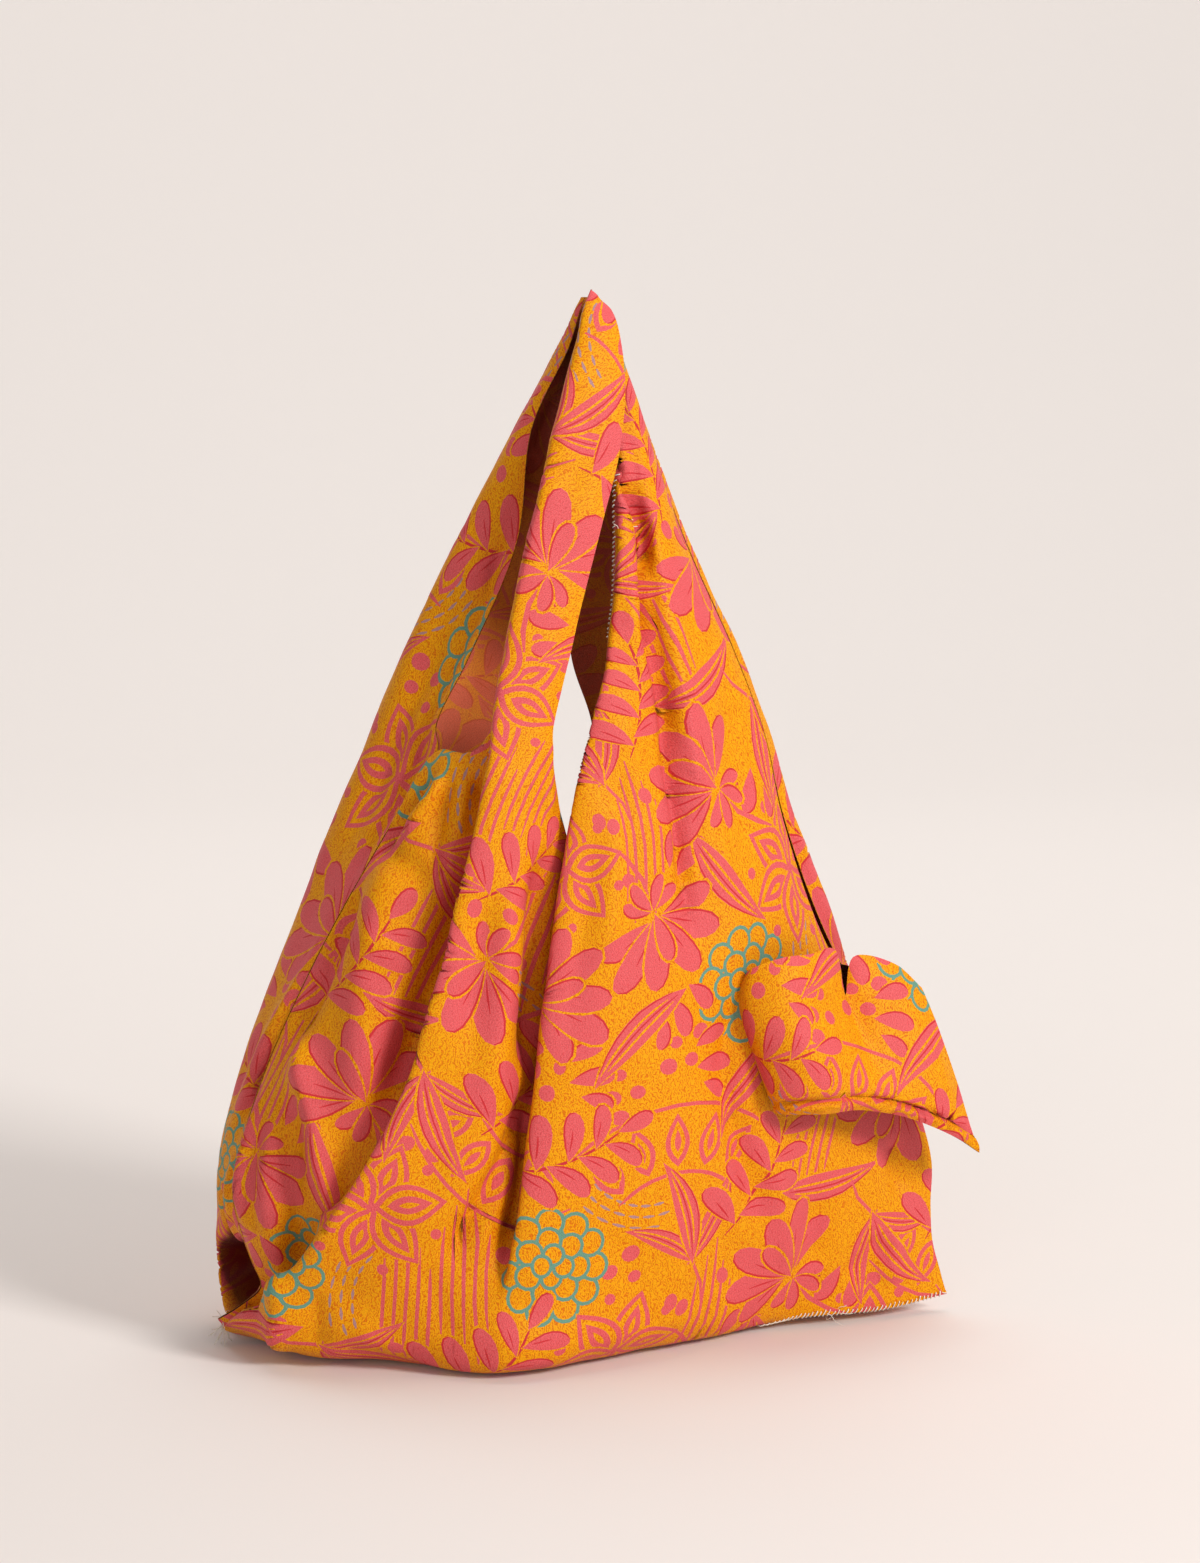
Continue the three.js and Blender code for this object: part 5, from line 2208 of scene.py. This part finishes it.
@dataclass(frozen=True)
class Studio:
    """The pale floor, the lamps and the camera."""

    floor: Colour = (0.795, 0.75, 0.722)
    floor_roughness: float = 0.9
    floor_gloss: float = 0.1
    glow: float = 0.30  # of the wall
    glow_least: float = 0.03  # share of it that the floor has
    glow_rise: Span = (-0.4, 2.2)  # how far behind the bag it rises, metres
    floor_front: float = -6.0  # metres
    floor_back: float = 2.2
    floor_side: float = 7.0
    bend: float = 1.6  # radius of the bend from the floor to the wall
    wall_top: float = 6.0
    azimuth: float = -8.0  # of the camera, degrees
    height: float = 750.0  # of the camera, millimetres
    distance: float = 2600.0
    target: Place = (0.0, 0.0, 355.0)
    lens: float = 95.54
    lamps: tuple[Lamp, ...] = LAMPS
    room: Colour = (1.0, 0.97, 0.94)
    room_light: float = 0.27

    def build(self) -> None:
        """Set up all of the studio."""
        self.build_backdrop()
        self.build_camera()
        for lamp in self.lamps:
            lamp.hang()
        self.build_room()

    def build_backdrop(self) -> None:
        """Lay a floor that bends up into a wall far behind."""
        angles = np.linspace(0.15, math.pi / 2, 12)
        profile = [(self.floor_front, 0.0), (self.floor_back, 0.0)]
        profile += [(self.floor_back + self.bend * math.sin(a), self.bend - self.bend * math.cos(a))
                    for a in angles]
        profile += [(self.floor_back + self.bend, self.wall_top)]
        sides = (-self.floor_side, self.floor_side)
        points = np.array([(x, y, z) for y, z in profile for x in sides])
        faces = [[2 * i, 2 * i + 1, 2 * i + 3, 2 * i + 2] for i in range(len(profile) - 1)]
        mesh = smooth_mesh("backdrop", points, faces)
        mesh.materials.append(self.paper())
        added("backdrop", mesh)

    def paper(self) -> bpy.types.Material:
        """Make the backdrop's material, which glows a little where it stands up as a wall.

        Returns:
            The material.
        """
        nodes = Nodes("paper")
        place = nodes.add("TexCoord").outputs["Object"]
        depth = nodes.add("SeparateXYZ", {"Vector": place}).outputs["Y"]
        reach = nodes.add("MapRange", {
            "Value": depth, "From Min": self.glow_rise[0], "From Max": self.glow_rise[1],
            "To Min": self.glow_least,
        }, interpolation_type="SMOOTHSTEP")
        dark = (0.0, 0.0, 0.0)
        nodes.put(nodes.shader, {
            "Base Color": self.floor,
            "Roughness": self.floor_roughness,
            "Specular IOR Level": self.floor_gloss,
            "Emission Color": nodes.mix(reach.outputs["Result"], dark, self.floor),
            "Emission Strength": self.glow,
        })
        return nodes.material

    def build_camera(self) -> None:
        """Stand the camera where the bag is seen from."""
        data = bpy.data.cameras.new("camera")
        data.lens = self.lens
        data.sensor_fit = "AUTO"
        data.sensor_width = 36.0
        data.clip_end = 50.0
        camera = added("camera", data)
        angle = math.radians(self.azimuth)
        along, aside = -math.cos(angle) * self.distance, math.sin(angle) * self.distance
        place = Vector((aside, along, self.height))
        camera.location = (place + Vector(ORIGIN_SHIFT)) * MM
        look = Vector(self.target) - place
        camera.rotation_euler = look.to_track_quat("-Z", "Y").to_euler()
        bpy.context.scene.camera = camera

    def build_room(self) -> None:
        """Set the room's own light."""
        world = bpy.data.worlds.new("room")
        world.use_nodes = True
        background = world.node_tree.nodes["Background"]
        background.inputs["Color"].default_value = (*self.room, 1.0)
        background.inputs["Strength"].default_value = self.room_light
        bpy.context.scene.world = world
        bpy.context.scene.view_settings.view_transform = "Standard"


@dataclass(frozen=True)
class ClothPiece:
    """What is needed to dress one cloth node: its sheet, its cut and where its print begins."""

    name: str
    node: str
    sheet: FoldedSheet
    flat: Span  # width and length of its cut, metres
    print_start: Spot
    held: str
    trims: tuple[str, ...] = ()

    def build(self, material: bpy.types.Material) -> bpy.types.Object:
        """Build the piece in place of its node.

        Args:
            material: the cloth's material.

        Returns:
            The piece.
        """
        piece = PrintedSheet(self.sheet, self.print_start).build(self.name)
        piece.data.materials.append(material)
        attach(piece, BODY)
        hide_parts(self.node)
        area = signed_area(self.sheet.outline()) * MM * MM
        log.info("%s: %d faces, %.4f m2", self.name, len(piece.data.polygons), area)
        return piece


def cloth_pieces() -> list[ClothPiece]:
    """Lay out the bag's cloths.

    Returns:
        The cloths, the panels first.
    """
    front, back = front_panel().sheet(), back_panel().sheet()
    pouch_front = PouchLayer(POUCH_FRONT).sheet()
    pouch_back = PouchLayer(POUCH_BACK, faces_back=True).sheet()
    measure_hollows([front, back, pouch_front, pouch_back])
    return [
        ClothPiece("front_cloth", "front_panel", front, (0.66, 0.68), (-300, -40), "draped",
                   ("overlock_thread",)),
        ClothPiece("back_cloth", "back_panel", back, (0.72, 0.74), (-210, -170), "draped"),
        ClothPiece("pouch_front_cloth", "pouch_front", pouch_front, (0.20, 0.12), (-60, -20),
                   "hung"),
        ClothPiece("pouch_back_cloth", "pouch_back", pouch_back, (0.20, 0.12), (-100, -80),
                   "hung"),
    ]


def main() -> None:
    """Dress the bag."""
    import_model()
    Studio().build()
    material = ClothFinish().material()
    cloths = cloth_pieces()
    overlock(cloths[0].sheet).build("overlock_thread", ThreadFinish().material())
    for piece in cloths:
        piece.build(material)


if __name__ == "__main__":
    logging.basicConfig(level=logging.INFO, format="%(message)s")
    main()
